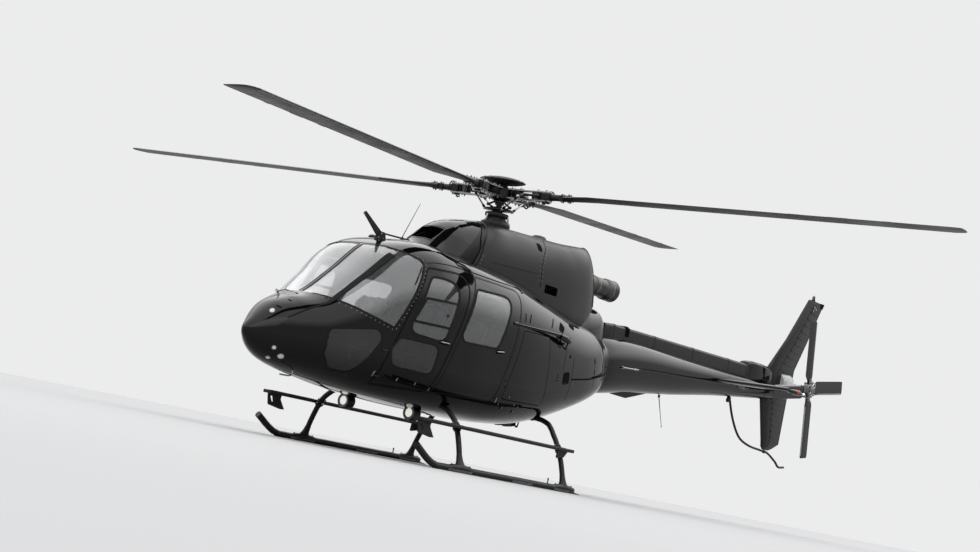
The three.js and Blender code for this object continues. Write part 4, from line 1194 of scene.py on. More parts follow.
def make_boom():
    skin = boom.skin(np.linspace(0, 5, 40), turn_steps(64))
    piece("boom_skin", [skin], GLOSS, smooth=50, replaces="tail_boom")
    fairing = Surface(AFT_FAIRING)
    volume = tool(fairing.skin(np.linspace(0, 5, 30), even_angles(48, 2.1)))
    heel = full_prism(inset(COWL_HEEL, PANEL_GAP))
    cowl_room = tool_object(carved(cowl_volume(-PANEL_GAP), less(heel)))
    boom_room = tool(boom.skin(np.linspace(0, 5, 20), even_angles(48, 2), -PANEL_GAP))
    mesh = carved(volume, less(roof_cleared, cowl_room, boom_room))
    surfaced("aft_fairing_skin", mesh, GLOSS, fairing, replaces="aft_fairing")


def make_shaft_cover():
    ends = (SHAFT_COVER[0][0], SHAFT_COVER[-1][0])
    rings = [arch(y, COVER_HALF - 12 * (y in ends), boom.top(y) - 26, top) for y, top in SHAFT_COVER]
    piece("shaft_cover_skin", [lofted(rings)], COWL_PAINT, smooth=35, replaces="driveshaft_cover")
    straps = []
    for y in COVER_STRAPS:
        low, high = boom.top(y) - 4, cover_top(y) + 2
        straps.append(lofted([arch(y + dy, COVER_HALF + 2, low, high, 4) for dy in (-14, 14)]))
    piece("shaft_cover_straps", straps, TRIM, smooth=35)
    saddle = []
    for dy, swell in SADDLE_RINGS:
        top = cover_top(SADDLE_Y) + swell + 2
        saddle.append(arch(SADDLE_Y + dy, COVER_HALF + 4 + swell, top - 122, top, 0, 26, 62, (10, 20, 24)))
    piece("shaft_cover_saddle", [lofted(saddle)], BLACK_AND_SHADE, smooth=35)
    hump = []
    for y, half, top in GEARBOX_HUMP:
        hump.append(arch(y, half, boom.top(y) - 40, top, 8, 34, half - 30, (4, 24, 30)))
    piece("gearbox_fairing", [lofted(hump)], GLOSS, smooth=35)


def make_gearbox():
    tail = Surface(TAIL_END, smooth=False)
    collar = tail.skin(np.linspace(0, 3, 13), turn_steps(56))
    piece("gearbox_collar", [collar], PALE_PAINT, replaces="tail_gearbox")
    cone_us = np.concatenate([np.linspace(3, 5, 9), [5.4, 5.8, 6]])
    piece("tail_cone", [tail.skin(cone_us, turn_steps(48))], GLOSS, smooth=50)
    piece("gearbox_output", [turned(GEARBOX_OUTPUT, GEARBOX_SIDE, OUT, 40)], PALE_PAINT, smooth=35)
    studs = []
    for a in turn_steps(10):
        spot = Vector(GEARBOX_SIDE) + Vector((108, 86 * math.cos(a), 86 * math.sin(a)))
        studs.append(stud(spot, OUT, 8, 9, 6))
    angles = turn_steps(20, 0.1)
    for y in GEARBOX_RIMS:
        ups = tail.normal(np.full(20, 1.5), angles)
        studs += [stud(spot, up, 7, 4, 6) for spot, up in zip(tail.ring(y, angles)[0], ups)]
    piece("gearbox_studs", studs, DULL_METAL)


def make_boom_rivets():
    heads, dark = [], []
    for y in RIVET_RINGS:
        angles = np.array([a for a in turn_steps(72, -math.pi) if not UNDER_COVER[0] < a < UNDER_COVER[1]])
        heads += [stud(spot, up, 4.5, 1.3, 6) for spot, up in zip(*boom.ring(y, angles))]
    for y, half in SEAM_RINGS:
        dark.append(strip(*boom.ring(y, turn_steps(64)), half * 2, 0.9, closed=True))
    stations, _, _, tops, _, _, _ = np.array(BOOM).T
    heights = tops - BOOM_LINE["drop"] + (stations - stations[0]) * BOOM_LINE["rise"]
    for _, side in SIDES:
        line = [(y, np.interp(y, stations, heights)) for y in BOOM_LINE["stations"]]
        heads += dots(boom, side, line, 62, 4.5, 1.3, 6)
    piece("boom_rivets", heads, GLOSS, smooth=50)
    piece("boom_seams", dark, BLACK_AND_SHADE, smooth=30)


def make_tail_guard():
    guard = [swept(GUARD_PATH, GUARD_RADIUS, 16, 10)] + [turned(*row, 20) for row in GUARD_FITTINGS]
    piece("tail_guard_tube", guard, GEAR_PAINT, smooth=60, replaces="tail_skid")


def make_fin(name, rows, rib_rows, share):
    """A fin's skin, with ribs over the share of its depth between two numbers, and a seam before them."""
    rings = [[(x, y, z) for y, x in aerofoil(lead, trail, thick)] for z, lead, trail, thick in rows]
    piece(f"{name}_skin", [lofted(rings)], COWL_PAINT, replaces=name)
    table = np.array(sorted(rows), float)

    def skin_point(z, part, side):
        lead, trail, thick = (np.interp(z, table[:, 0], column) for column in table.T[1:])
        foil = aerofoil(lead, trail, thick)[:15]
        y = lead + (trail - lead) * part
        return side * np.interp(y, foil[:, 0], foil[:, 1]), y, z

    beads, dark = [], []
    for _, side in SIDES:
        for z in rib_rows:
            spots = [skin_point(z - (part - 0.4) * 12, part, side) for part in np.linspace(*share, 9)]
            beads.append(strip(spots, [(side, 0.03, 0.0)] * 9, 26, 5.5, 3))
        heights = np.linspace(table[0, 0] + 40, table[-1, 0] - 50, 20)
        spots = [skin_point(z, share[0] - 0.055, side) for z in heights]
        dark.append(strip(spots, [(side, 0.0, 0.0)] * 20, 7, 0.8, 3))
    piece(f"{name}_ribs", beads, COWL_PAINT, smooth=60)
    piece(f"{name}_seams", dark, BLACK_AND_SHADE, smooth=30)


def make_tail_planes():
    make_fin("upper_fin", UPPER_FIN, np.linspace(2160, 3060, 10), (0.40, 0.88))
    make_fin("lower_fin", LOWER_FIN, np.linspace(1240, 1700, 7), (0.42, 0.9))
    lead, trail, z, half = STABILIZER["lead"], STABILIZER["trail"], STABILIZER["z"], STABILIZER["half"]
    section = aerofoil(lead, trail, STABILIZER["thickness"])
    rings = [[(x, y, z + h) for y, h in section] for x in np.linspace(-half, half, 30)]
    piece("stabilizer_skin", [lofted(rings)], GLOSS, replaces="stabilizer")
    middle = (lead + trail) / 2
    tips = [turned(STABILIZER_TIP, (side * half, middle, z - 12), AFT, 28) for _, side in SIDES]
    piece("stabilizer_tips", tips, GLOSS, smooth=60)
    for (name, side), glow in zip(SIDES, (LAMP_RED, LAMP_GREEN)):
        aim = (side, *POSITION_LAMP_AIM)
        lamp = turned(POSITION_LAMP, (side * (half + 22), POSITION_LAMP_Y, z - 4), aim, 20)
        piece(f"position_light_{name}", [lamp], glow, smooth=60)
        base = turned(LAMP_BASE, (side * (half + 21), POSITION_LAMP_Y, z - 4), aim, 20)
        piece(f"position_light_base_{name}", [base], STEEL, smooth=30)
    white = [turned(TAIL_LAMP, (side * (half + 10), trail - 15, z - 8), (side, 0.9, 0), 20)
             for _, side in SIDES]
    piece("tail_white_lights", white, LAMP, smooth=60)
    piece("beacon_base", [turned(BEACON_BASE, (0, BEACON_Y, 3232), UP, 24)], TRIM)
    piece("beacon_lens", [turned(BEACON_LENS, (0, BEACON_Y, 3252), UP, 24)], SCREEN, smooth=60)
    piece("fin_corner", [side_prism(FIN_CORNER, -13, 13, 4)], BLACK_AND_SHADE, smooth=30)
    fittings = []
    for _, side in SIDES:
        fittings += [turned(FIN_NUT, (side * 26, y, z), (side, 0, 0), 12) for y, z in FIN_FITTINGS]
    piece("fin_tip_fittings", fittings, STEEL)


make_boom()
make_shaft_cover()
make_gearbox()
make_boom_rivets()
make_tail_guard()
make_tail_planes()

# Rotors: each is drawn about its own head, with an arm's X running out along its blade

ROTOR = {"hub": (0, 0, 3035), "azimuth": 13, "cone": 1, "tilt": 3.5}
TAIL_ROTOR = {"hub": (400, 6700, 1954), "azimuth": 9, "chord": 185, "lead": 70}
BLADE_TABLE = (
    # radius, chord, thickness, leading edge
    (760, 150, 60, 70), (860, 190, 56, 76), (980, 280, 48, 85), (1120, 340, 38, 90), (4910, 340, 30.4, 90),
    (4975, 318, 24, 74), (5000, 272, 19, 45),
)
TAIL_BLADE_TABLE = (
    (82, 60, 26, 30), (120, 92, 25, 42), (160, 150, 22, 60), (200, 185, 20, 70), (400, 185, 18, 70),
    (700, 185, 15, 70), (900, 185, 12.4, 70), (922, 176, 12, 66), (930, 160, 10, 58),
)
BLADE_CUFF = (505, 600, -64, 64, -37, 37, 6)
BLADE_NECK = (700, 860, -36, 52, -31, 31, 8)
TAB_DEPTH = (-262, -236)
TRIM_TABS = ((3300, 3420), (3700, 3900), (4250, 4330))
GRIP = ((34, 0), (37, 6), (37, 60), (35, 66), (35, 176), (37, 182), (37, 190), (30, 196))
BOLT = ((14, -3), (14, 4), (9, 5), (9, 15), (4, 17))
ROOT_BOLTS = (
    # x, y, height of the face that they stand on
    (528, -44, 37), (528, 44, 37), (574, -44, 37), (574, 44, 37),
    (735, 30, 31), (735, -18, 31), (815, 34, 31), (815, -16, 31),
)


def rotor_frame(arm=None):
    turn = Matrix.Rotation(math.radians(ROTOR["tilt"]), 4, "X")
    if arm is not None:
        turn = turn @ Matrix.Rotation(math.radians(ROTOR["azimuth"] + 90 * arm), 4, "Z")
        turn = turn @ Matrix.Rotation(-math.radians(ROTOR["cone"]), 4, "Y")
    return Matrix.Translation(ROTOR["hub"]) @ turn


def tail_frame(arm):
    turn = Matrix.Rotation(math.radians(TAIL_ROTOR["azimuth"] + 90 * arm), 4, "X")
    return Matrix.Translation(TAIL_ROTOR["hub"]) @ turn @ Matrix.Rotation(-math.pi / 2, 4, "Y")


def moved(matrix, shapes):
    return [(np.array([matrix @ Vector(p) for p in points]), faces) for points, faces in shapes]


def plate(corners, low, high, bevel, steps=4):
    """A flat plate from an outline of [x, y, radius], with softened edges."""
    rings = []
    for z, shrink in ((low, bevel), (low + bevel, 0), (high - bevel, 0), (high, bevel)):
        rings.append([(x, y, z) for x, y in rounded_outline(inset(corners, shrink), steps)])
    return lofted(rings)


def solid_box(x0, x1, y0, y1, z0, z1, bevel):
    corners = [(x, y, bevel * 2) for x, y in ((x0, y0), (x1, y0), (x1, y1), (x0, y1))]
    return plate(corners, z0, z1, bevel)


def blade_row(x, table):
    """Radius, chord, thickness and leading edge of a blade at a radius."""
    columns = np.array(table, float).T
    return [x] + [np.interp(x, columns[0], column) for column in columns[1:]]


def blade_shape(rows, count=17):
    rings = []
    for x, chord, thickness, lead in rows:
        rings.append([(x, lead - along, up) for along, up in aerofoil(0, chord, thickness, count, 3.0)])
    return lofted(rings)


def edge_ring(foil, x, reach, outside, inside):
    """A blade shield's ring: the foil's front up to a reach, then back along a thinner inside."""
    front = [p for p in foil if p[0] < reach]
    half = len(front) // 2 + 1
    ordered = front[half:] + front[:half]
    inner_edge, along, thin = inside
    return ([(x, outside - a, h) for a, h in ordered] +
            [(x, inner_edge - a * along, h * thin) for a, h in ordered[::-1]])


def bolt_pair(x, y, face):
    return [turned(BOLT, (x, y, up * face), (0, 0, up), 6) for up in (1, -1)]


def make_main_blades():
    tip_stations = [4910, 4950, 4975, 4992, 5000]
    stations = np.concatenate([np.linspace(760, 1120, 10), np.linspace(1300, 4700, 18), tip_stations])
    skin = [blade_shape([blade_row(x, BLADE_TABLE) for x in stations])]
    edge = []
    for x in [*np.linspace(1500, 4880, 24), 4900]:
        _, chord, thickness, lead = blade_row(x, BLADE_TABLE)
        foil = aerofoil(0, chord, thickness + 2.2, 33, 3.0)
        edge.append(edge_ring(foil, x, 0.13 * chord, lead + 1.2, (lead - 2, 0.98, 0.6)))
    tabs = [solid_box(x0, x1, *TAB_DEPTH, -1.6, 1.6, 0.6) for x0, x1 in TRIM_TABS]
    root = [solid_box(*BLADE_CUFF), turned(GRIP, (588, 0, 0), OUT, 28), solid_box(*BLADE_NECK)]
    bolts = [bolt for row in ROOT_BOLTS for bolt in bolt_pair(*row)]
    for arm in range(4):
        number, out = arm + 1, rotor_frame(arm)
        piece(f"blade_skin_{number}", moved(out, skin), BLADE, "main_rotor", 35, f"main_blade_{number}")
        piece(f"blade_shield_{number}", moved(out, [lofted(edge)]), DULL_METAL, "main_rotor", 45)
        piece(f"blade_tabs_{number}", moved(out, tabs), BLADE, "main_rotor", 35)
        piece(f"blade_root_{number}", moved(out, root), GEAR_PAINT, "main_rotor", 35)
        piece(f"blade_bolts_{number}", moved(out, bolts), DULL_METAL, "main_rotor", 30)


HUB_CORE = (
    (50, -130), (50, -112), (62, -108), (62, -90), (84, -80), (118, -66), (128, -56), (128, 56), (118, 62),
    (74, 70), (62, 78), (60, 96), (20, 96),
)
HUB_FOOT = ((20, -150), (33, -149), (33, -126), (20, -126))
DOME = (
    (0.1, 93), (60, 95), (115, 99), (170, 108), (220, 121), (248, 131), (252, 136), (248, 141), (228, 150),
    (180, 163), (120, 174), (60, 180), (0.1, 182),
)
DOME_PATCH = ((150, 102.5), (232, 123.5), (233, 120.5), (150, 99))
DOME_SCREWS = {"count": 12, "circle": 214, "z": 153}
STAR_EDGE = ((96, 78, 20), (190, 58, 60), (330, 36, 60), (430, 52, 40), (597, 55, 16))
STAR_PLATE = [(x, -y, radius) for x, y, radius in STAR_EDGE] + [*reversed(STAR_EDGE)]
STAR_BOLTS = ((148, 40), (148, -40), (250, 30), (250, -30), (455, 32), (455, -32), (555, 36), (555, -36))
STAR_BOLT = ((13, -2), (13, 5), (8, 6), (8, 15), (3, 17))
STAR_FACES = ((39, 57), (-57, -39))
SLEEVE_PAD = (470, 500, -50, 50, -39, 39, 4)
SLEEVE_LEVER = (505, 590, -24, 24, -72, -57, 4)
STACK = {"start": 392, "pitch": 13, "layer": 8, "shim": 4, "layers": 5}
BEARING = ((12, -38), (56, -36), (66, -22), (70, 0), (66, 22), (56, 36), (12, 38))
HEAD_RODS = (
    # curve, radius, sides, steps
    (((560, -50, -34), (575, -66, -62), (560, -60, -84), (528, -52, -78)), 9, 10, 6),
    (((590, 62, -20), (604, 74, 22), (588, 66, 62), (560, 50, 66)), 7, 10, 6),
    (((300, -60, 0), (300, -120, -18), (292, -168, -34)), (20, 17, 13), 14, 5),
    (((490, -58, 0), (400, -72, 0), (300, -66, 0), (210, -56, 0)), (15, 13, 18, 15), 14, 6),
)
LINK_TOP = (292, -172, -40)
UPPER_EYE = ((4, -16), (19, -14), (20, 0), (19, 14), (4, 16))
LOWER_EYE = ((4, -14), (17, -12), (18, 0), (17, 12), (4, 14))
LINK_FOOT = {"circle": 150, "turn": -52, "z": -186}
SWASHPLATE = (
    (86, -194), (150, -192), (158, -188), (158, -176), (150, -172), (110, -168), (92, -158), (86, -160),
)


def make_hub():
    hub = rotor_frame()
    core = [turned(HUB_CORE, (0, 0, 0), UP, 40), turned(HUB_FOOT, (0, 0, 0), UP, 24)]
    piece("head_core", moved(hub, core), GEAR_PAINT, "main_rotor", 35, "rotor_hub")
    piece("head_dome", moved(hub, [turned(DOME, (0, 0, 0), UP, 64)]), TRIM, "main_rotor", 60)
    patch = []
    for a in np.linspace(-0.16, 0.16, 9) + math.radians(230):
        patch.append([(r * math.cos(a), r * math.sin(a), z) for r, z in DOME_PATCH])
    piece("head_patch", moved(hub, [lofted(patch)]), PALE_PAINT, "main_rotor", 50)
    circle, z = DOME_SCREWS["circle"], DOME_SCREWS["z"]
    screws = [turned([(9, -2), (9, 5), (4, 6)], (circle * math.cos(a), circle * math.sin(a), z), UP, 6)
              for a in turn_steps(DOME_SCREWS["count"])]
    piece("dome_screws", moved(hub, screws), STEEL, "main_rotor", 30)


def make_arms():
    star = [plate(STAR_PLATE, *ends, 3, 5) for ends in STAR_FACES]
    pads, bright = [solid_box(*SLEEVE_PAD)], []
    for k in range(STACK["layers"]):
        x0, half = STACK["start"] + k * STACK["pitch"], 54 - 3 * abs(k - STACK["layers"] // 2)
        x1 = x0 + STACK["layer"]
        pads.append(solid_box(x0, x1, -half, half, -37, 37, 1.5))
        bright.append(solid_box(x1, x1 + STACK["shim"], 3 - half, half - 3, -38, 38, 1))
    pads.append(turned(BEARING, (205, 0, 0), UP, 28))
    for x, y in STAR_BOLTS:
        bright += [turned(STAR_BOLT, (x, y, up * 57), (0, 0, up), 6) for up in (1, -1)]
    rods = [swept(*row) for row in HEAD_RODS] + [solid_box(*SLEEVE_LEVER)]
    bright.append(turned(UPPER_EYE, (292, -172, -38), OUT, 20))
    circle, turn = LINK_FOOT["circle"], math.radians(LINK_FOOT["turn"])
    top = np.array(LINK_TOP, float)
    foot = np.array((circle * math.cos(turn), circle * math.sin(turn), LINK_FOOT["z"]))
    bright.append(swept([top, (top + foot) / 2, foot], 8.5, 12, 4))
    rods += [washer(8, 14, 16, 2, top * (1 - share) + foot * share, foot - top, 12) for share in (0.14, 0.86)]
    bright.append(turned(LOWER_EYE, foot, (1, 1, 0), 18))
    for name, shapes, material, smooth in (
        ("star_plates", star, STEEL, 35), ("head_elastomers", pads, RUBBER, 35),
        ("head_bolts_and_links", bright, STEEL, 35), ("head_levers", rods, GEAR_PAINT, 40),
    ):
        around = [shape for arm in range(4) for shape in moved(rotor_frame(arm), shapes)]
        piece(name, around, material, "main_rotor", smooth)


def make_swashplate():
    swash = [turned(SWASHPLATE, (0, 0, 0), UP, 48, "joined")]
    for angle in (60, 240):
        a = math.radians(angle)
        knee = (128 * math.cos(a), 128 * math.sin(a), -138)
        foot = (96 * math.cos(a + 0.5), 96 * math.sin(a + 0.5), -166)
        head = (58 * math.cos(a), 58 * math.sin(a), -98)
        swash += [swept([head, knee], 11, 12), swept([knee, foot], 10, 12)]
        swash.append(washer(4, 16, 16, 2, knee, (-math.sin(a), math.cos(a), 0), 16))
    piece("rotating_swashplate", moved(rotor_frame(), swash), GEAR_PAINT, "main_rotor", 35)


TAIL_SPINDLE = (
    (20, -110), (30, -109), (30, -66), (44, -60), (72, -58), (76, -50), (76, 20), (70, 28), (46, 34),
    (44, 58), (30, 66), (2, 68),
)
TAIL_ARM_BOLTS = ((96, 16), (96, -14), (132, 20), (132, -14))
TAIL_RODS = (
    # curve, radius
    (((120, 40, 0), (116, 62, -6), (104, 74, -26)), 7),
    (((104, 74, -26), (70, 66, -62)), 5.5),
    (((94, -88, 2), (100, 0, 8), (94, 92, 2)), 6),
)


def make_tail_rotor():
    chord, lead = TAIL_ROTOR["chord"], TAIL_ROTOR["lead"]
    edge = []
    for x in np.linspace(230, 895, 14):
        foil = aerofoil(0, chord, np.interp(x, [200, 930], [20, 12]) + 1.4, 33, 2.0)
        edge.append(edge_ring(foil, x, 22, lead + 0.7, (lead - 2, 1, 0.5)))
    for arm in range(4):
        number, out = arm + 1, tail_frame(arm)
        skin = moved(out, [blade_shape(TAIL_BLADE_TABLE, 13)])
        piece(f"tail_blade_skin_{number}", skin, BLADE, "tail_rotor", 35, f"tail_blade_{number}")
        piece(f"tail_blade_shield_{number}", moved(out, [lofted(edge)]), STEEL, "tail_rotor", 45)

    cuffs = [solid_box(40, 150, -30, 34, low, high, 1.5) for low, high in ((-19, -13.5), (13.5, 19))]
    cuffs += [turned([(8, -22), (8, 22)], (x, y, 0), UP, 6) for x, y in TAIL_ARM_BOLTS]
    rods = [swept(curve, radius, 10) for curve, radius in TAIL_RODS]
    rods += [washer(3, 15, 12, 2, (92, y, 4), OUT, 14) for y in (92, -88)]
    centre = Vector(TAIL_ROTOR["hub"])
    hub, levers = [turned(TAIL_SPINDLE, centre, OUT, 36)], []
    for arm in range(4):
        hub += moved(tail_frame(arm), cuffs)
        levers += moved(tail_frame(arm), rods)
    for a in turn_steps(4, math.pi / 4):
        tip = centre + Vector((52, 78 * math.cos(a), 78 * math.sin(a)))
        levers.append(swept([centre + Vector((52, 0, 0)), tip], 9, 10))
        levers.append(washer(3, 13, 11, 2, tip, OUT, 14))
    piece("tail_hub_core", hub, DULL_METAL, "tail_rotor", 35, "tail_rotor_hub")
    piece("tail_hub_levers", levers, STEEL, "tail_rotor", 40)


make_main_blades()
make_hub()
make_arms()
make_swashplate()
make_tail_rotor()

# Landing gear and belly

SKID = {"x": 1100, "radius": 34, "centre": 30}
SKID_PATH = ((-1830, 190), (-1640, 80), (-1520, 38), (-1360, 30), (0, 30), (715, 30))
SKID_TAIL = (
    # station, half width, height
    (700, 33.5, 63), (735, 33.5, 60), (765, 34, 42), (800, 34, 24), (840, 34, 14), (880, 33, 10),
    (903, 26, 9),
)
LEG_CURVES = {
    "front": ((0, 632), (560, 632), (754, 600), (838, 558), (920, 486), (975, 392), (1028, 259), (1068, 133),
              (1100, 60)),
    "rear": ((0, 722), (550, 722), (730, 690), (800, 640), (846, 582), (903, 508), (965, 405), (1020, 290),
             (1070, 150), (1100, 60)),
}
LEG_BOOT = (
    # height, half width, half length
    (58, 36, 92), (76, 35, 66), (100, 33, 48), (128, 31.5, 38), (168, 30, 31),
)
SADDLE = ((-175, 34, 31), (-110, 40, 36), (0, 44, 38.5), (110, 40, 36), (175, 34, 31))
SADDLE_BOLTS = (-140, -70, 70, 140)
SHOES = ((-1330, -960), (-300, 40), (420, 700))
TUBE = 28
CLAMP_HEIGHTS = (462, 416)
FLOOR_CLAMPS = (430, 520)
STEP = {"x": 1040, "width": 128, "front": -1830, "rear": 700, "z": 440, "thickness": 36}
STEP_PLATES = (
    ((-1815, 440, 0), (-1782, 308, 20), (-1600, 282, 20), (-1540, 285, 4), (-1625, 390, 40), (-1600, 440, 0)),
    ((483, 440, 0), (471, 335, 20), (600, 360, 20), (670, 440, 0)),
)
STEP_PLATE_EYE = ((-1775, 400, 8), (-1738, 400, 10), (-1715, 345, 10), (-1735, 338, 8))
TREAD = {"pitch": 34, "across": 32, "end": 60}


def leg_point(leg, side, height):
    """The place and direction of a cross tube's side where it passes a height."""
    table = np.array(LEG_CURVES[leg][1:], float)
    x, lower = np.interp([-height, 20 - height], -table[:, 1], table[:, 0])
    return Vector((side * x, ARCHES[leg][0], height)), Vector((side * (lower - x), 0, -20)).normalized()


def skid_tube(x):
    points, faces = swept([(x, y, z) for y, z in SKID_PATH], SKID["radius"], 28, 10)
    points[:, 2] = np.maximum(points[:, 2], 0)
    tail = []
    for y, half, top in SKID_TAIL:
        right = [(half, 0), (half, top * 0.35), (half * 0.72, top * 0.85)]
        left = [(-u, z) for u, z in reversed(right)]
        tail.append([(x + u, y, z) for u, z in left[-1:] + right + [(0, top)] + left[:-1]])
    return [(points, faces), lofted(tail)]


def skid_fittings(x, side):
    shapes = []
    for leg, (y, _) in ARCHES.items():
        saddle = [(x, y + dy, z) for dy, z, _ in SADDLE]
        shapes.append(swept(saddle, [radius for _, _, radius in SADDLE], 24, 5))
        boot = []
        for height, wide, long in LEG_BOOT:
            middle, _ = leg_point(leg, side, max(height, 61))
            boot.append([(middle.x + wide * math.cos(a), middle.y + long * math.sin(a), height)
                         for a in turn_steps(24)])
        shapes.append(lofted(boot))
        shapes += [turned([(9, -2), (9, 4), (5, 10)], (x, y + dy, 70), UP, 6) for dy in SADDLE_BOLTS]
    shapes.append(turned([(6, 0), (7, 40), (10, 50), (4, 58)], (x, 330, 60), UP, 12))
    points, faces = joined(shapes)
    points[:, 2] = np.maximum(points[:, 2], 0)
    return [(points, faces)]


def skid_shoe(x, y0, y1):
    r, centre = SKID["radius"], SKID["centre"]
    under = np.linspace(math.pi * 1.02, math.pi * 1.98, 17)

    def half_round(y, radius, angles):
        return [(x + radius * math.cos(a), y, max(centre + radius * math.sin(a), 0)) for a in angles]

    rings = []
    for y, grow in ((y0, 1.5), (y0 + 12, 4), (y1 - 12, 4), (y1, 1.5)):
        rings.append(half_round(y, r + grow, under) + half_round(y, r - 6, under[::-1]))
    return lofted(rings)


def make_skids():
    for name, side in SIDES:
        x = side * SKID["x"]
        piece(f"skid_tube_{name}", skid_tube(x), GEAR_PAINT, smooth=50, replaces=f"skid_{name}")
        piece(f"skid_fittings_{name}", skid_fittings(x, side), GEAR_PAINT, smooth=45)
        piece(f"skid_shoes_{name}", [skid_shoe(x, *ends) for ends in SHOES], DULL_METAL, smooth=35)


def make_legs():
    for leg, (y, _) in ARCHES.items():
        curve = LEG_CURVES[leg]
        path = [(-x, y, z) for x, z in reversed(curve[1:])] + [(x, y, z) for x, z in curve]
        tube = swept(path, TUBE, 24, 8, up=AFT)
        piece(f"cross_tube_skin_{leg}", [tube], GEAR_PAINT, smooth=50, replaces=f"cross_tube_{leg}")
    clamps, bolts = [], []
    for _, side in SIDES:
        for leg in ARCHES:
            for height in CLAMP_HEIGHTS:
                spot, along = leg_point(leg, side, height)
                clamps.append(washer(29, 36, 13, 2, spot, along, 24))
                for dy in (-44, 44):
                    lug = spot + Vector((0, dy, 0))
                    bolts.append(washer(4, 9, 16, 1, lug, along, 6))
                    clamps.append(washer(6, 15, 9, 1, lug, along, 14))
        for y, z in ARCHES.values():
            clamps += [washer(28, 34.5, 20, 2, (side * x, y, z), OUT, 24) for x in FLOOR_CLAMPS]
    piece("tube_clamps", clamps, GEAR_PAINT, smooth=35)
    piece("clamp_bolts", bolts, STEEL, smooth=30)


def step_board(x, half, low, top):
    front, rear = STEP["front"], STEP["rear"]
    rings = []
    for y, tuck in ((front, 10), (front + 10, 1), (rear - 10, 1), (rear, 10)):
        u, v0, v1 = half - tuck, low + tuck * 0.3, top - tuck * 0.3
        corners = [(x - u, v0, 9), (x + u, v0, 9), (x + u, v1, 9), (x - u, v1, 9)]
        rings.append([(u, y, v) for u, v in rounded_outline(corners, 4)])
    shapes = [lofted(rings)]
    eye = full_prism(STEP_PLATE_EYE)
    for corners in STEP_PLATES:
        outline = rounded_outline(corners, 5)
        sheet = tool(lofted([[(x + dx, y, z) for y, z in outline] for dx in (-6, 6)]))
        shapes.append(mesh_shape(carved(sheet, less(eye))))
    return shapes


def step_treads(x, half, top):
    """Slanted ridges in three rows, clear of the cross tubes."""
    shapes = []
    for y in np.arange(STEP["front"] + TREAD["end"], STEP["rear"] - TREAD["end"], TREAD["pitch"]):
        if min(abs(y - arch_y) for arch_y, _ in ARCHES.values()) < TREAD["end"]:
            continue
        for k in range(3):
            u = x - half + 26 + k * TREAD["across"]
            corners = [(u, y, 5), (u + 22, y + 6, 5), (u + 22, y + 16, 5), (u, y + 10, 5)]
            shapes.append(plate(corners, top - 1, top + 2.2, 0.8, 1))
    return shapes


def make_steps():
    top = STEP["z"] + STEP["thickness"] / 2
    low = STEP["z"] - STEP["thickness"] / 2
    half = STEP["width"] / 2
    for name, side in SIDES:
        x = side * STEP["x"]
        board = step_board(x, half, low, top)
        piece(f"step_board_{name}", board, GEAR_PAINT, replaces=f"step_{name}")
        piece(f"step_tread_{name}", step_treads(x, half, top), RUBBER, smooth=30)
        ends = (STEP["front"] + 14, STEP["rear"] - 14)
        trims = [swept([(u, y, STEP["z"] + 4) for y in ends], 4, 8) for u in (x - half + 1, x + half - 1)]
        piece(f"step_edges_{name}", trims, GEAR_PAINT, smooth=50)


LANDING_LIGHTS = {"port": (334, -1160, 493), "starboard": (-334, -1430, 493)}
LIGHT_PARTS = (
    # name, profile, material, smooth
    ("body", ((63, 4), (67, -4), (72, -4), (76, 4), (81, 30), (82, 50), (76, 100), (52, 118), (2, 120)),
     GEAR_PAINT, 40),
    ("reflector", ((63, 4), (52, 22), (30, 38), (4, 45)), STEEL, 50),
    ("bulb", ((61, 8), (57, 1), (34, -5), (2, -8)), LAMP, 60),
    ("ring", ((74, -2), (72, -9), (64, -9), (61, -2), (66, 6)), DULL_METAL, 40),
)
LIGHT_YOKE = ((84, 50, 0), (75.6, 60, 40), (42, 70, 80))
POD = ((715, 575, 40), (704, 700, 10), (720, 790, 0), (930, 790, 0), (940, 600, 40))
POD_BLOCK = (-70, 70, 700, 950, 562, 800, 26)
POD_GUARD_HALF = 46
POD_GUARD = ((930, 640), (985, 600), (1005, 650), (1010, 720))
WHIP_FOOT = (0, 3746, 1362)
WHIP_TIP = (0, 3918, 1012)
BOOM_AERIAL = (
    (2676, 1300, 10), (2705, 1240, 30), (3021, 1234, 60), (3470, 1362, 20), (3480, 1420, 0), (2700, 1330, 0),
)


def make_lights():
    for name, (x, y, z) in LANDING_LIGHTS.items():
        for part, profile, material, smooth in LIGHT_PARTS:
            node = f"landing_light_{name}" if part == "body" else None
            lamp = turned(profile, (x, y, z), AFT, 36)
            piece(f"light_{part}_{name}", [lamp], material, smooth=smooth, replaces=node)
        arms = [swept([(x + side * dx, y + dy, z + dz) for dx, dy, dz in LIGHT_YOKE], 8, 10)
                for side in (-1, 1)]
        piece(f"light_yoke_{name}", arms, GEAR_PAINT, smooth=50)


def make_belly():
    rounded = tool(rounded_block(*POD_BLOCK))
    pod = carved(full_prism(POD), within(rounded) + less(roof_cleared, tube_room("rear")))
    piece("belly_pod", [mesh_shape(pod)], GEAR_PAINT, smooth=35, replaces="belly_hook")
    guard = [swept([(x, y, z) for y, z in POD_GUARD], 8, 10) for x in (-POD_GUARD_HALF, POD_GUARD_HALF)]
    guard.append(swept([(-POD_GUARD_HALF, 992, 612), (POD_GUARD_HALF, 992, 612)], 7, 10))
    piece("belly_pod_guard", guard, GEAR_PAINT, smooth=50)

    whip = [
        swept([(0, 3746, 1386), (0, 3746, 1352)], 14, 14),
        swept([WHIP_FOOT, (0, 3835, 1180), WHIP_TIP], (6, 4, 3), 10, 6),
        turned([(4, -12), (6, 0), (4, 12)], WHIP_TIP, (0, 0.4, -0.9), 10),
    ]
    piece("belly_whip", whip, TRIM, smooth=60)
    piece("boom_blade_antenna", [side_prism(BOOM_AERIAL, -11, 11, 6)], GLOSS, smooth=30)


make_skids()
make_legs()
make_steps()
make_lights()
make_belly()

# Cabin

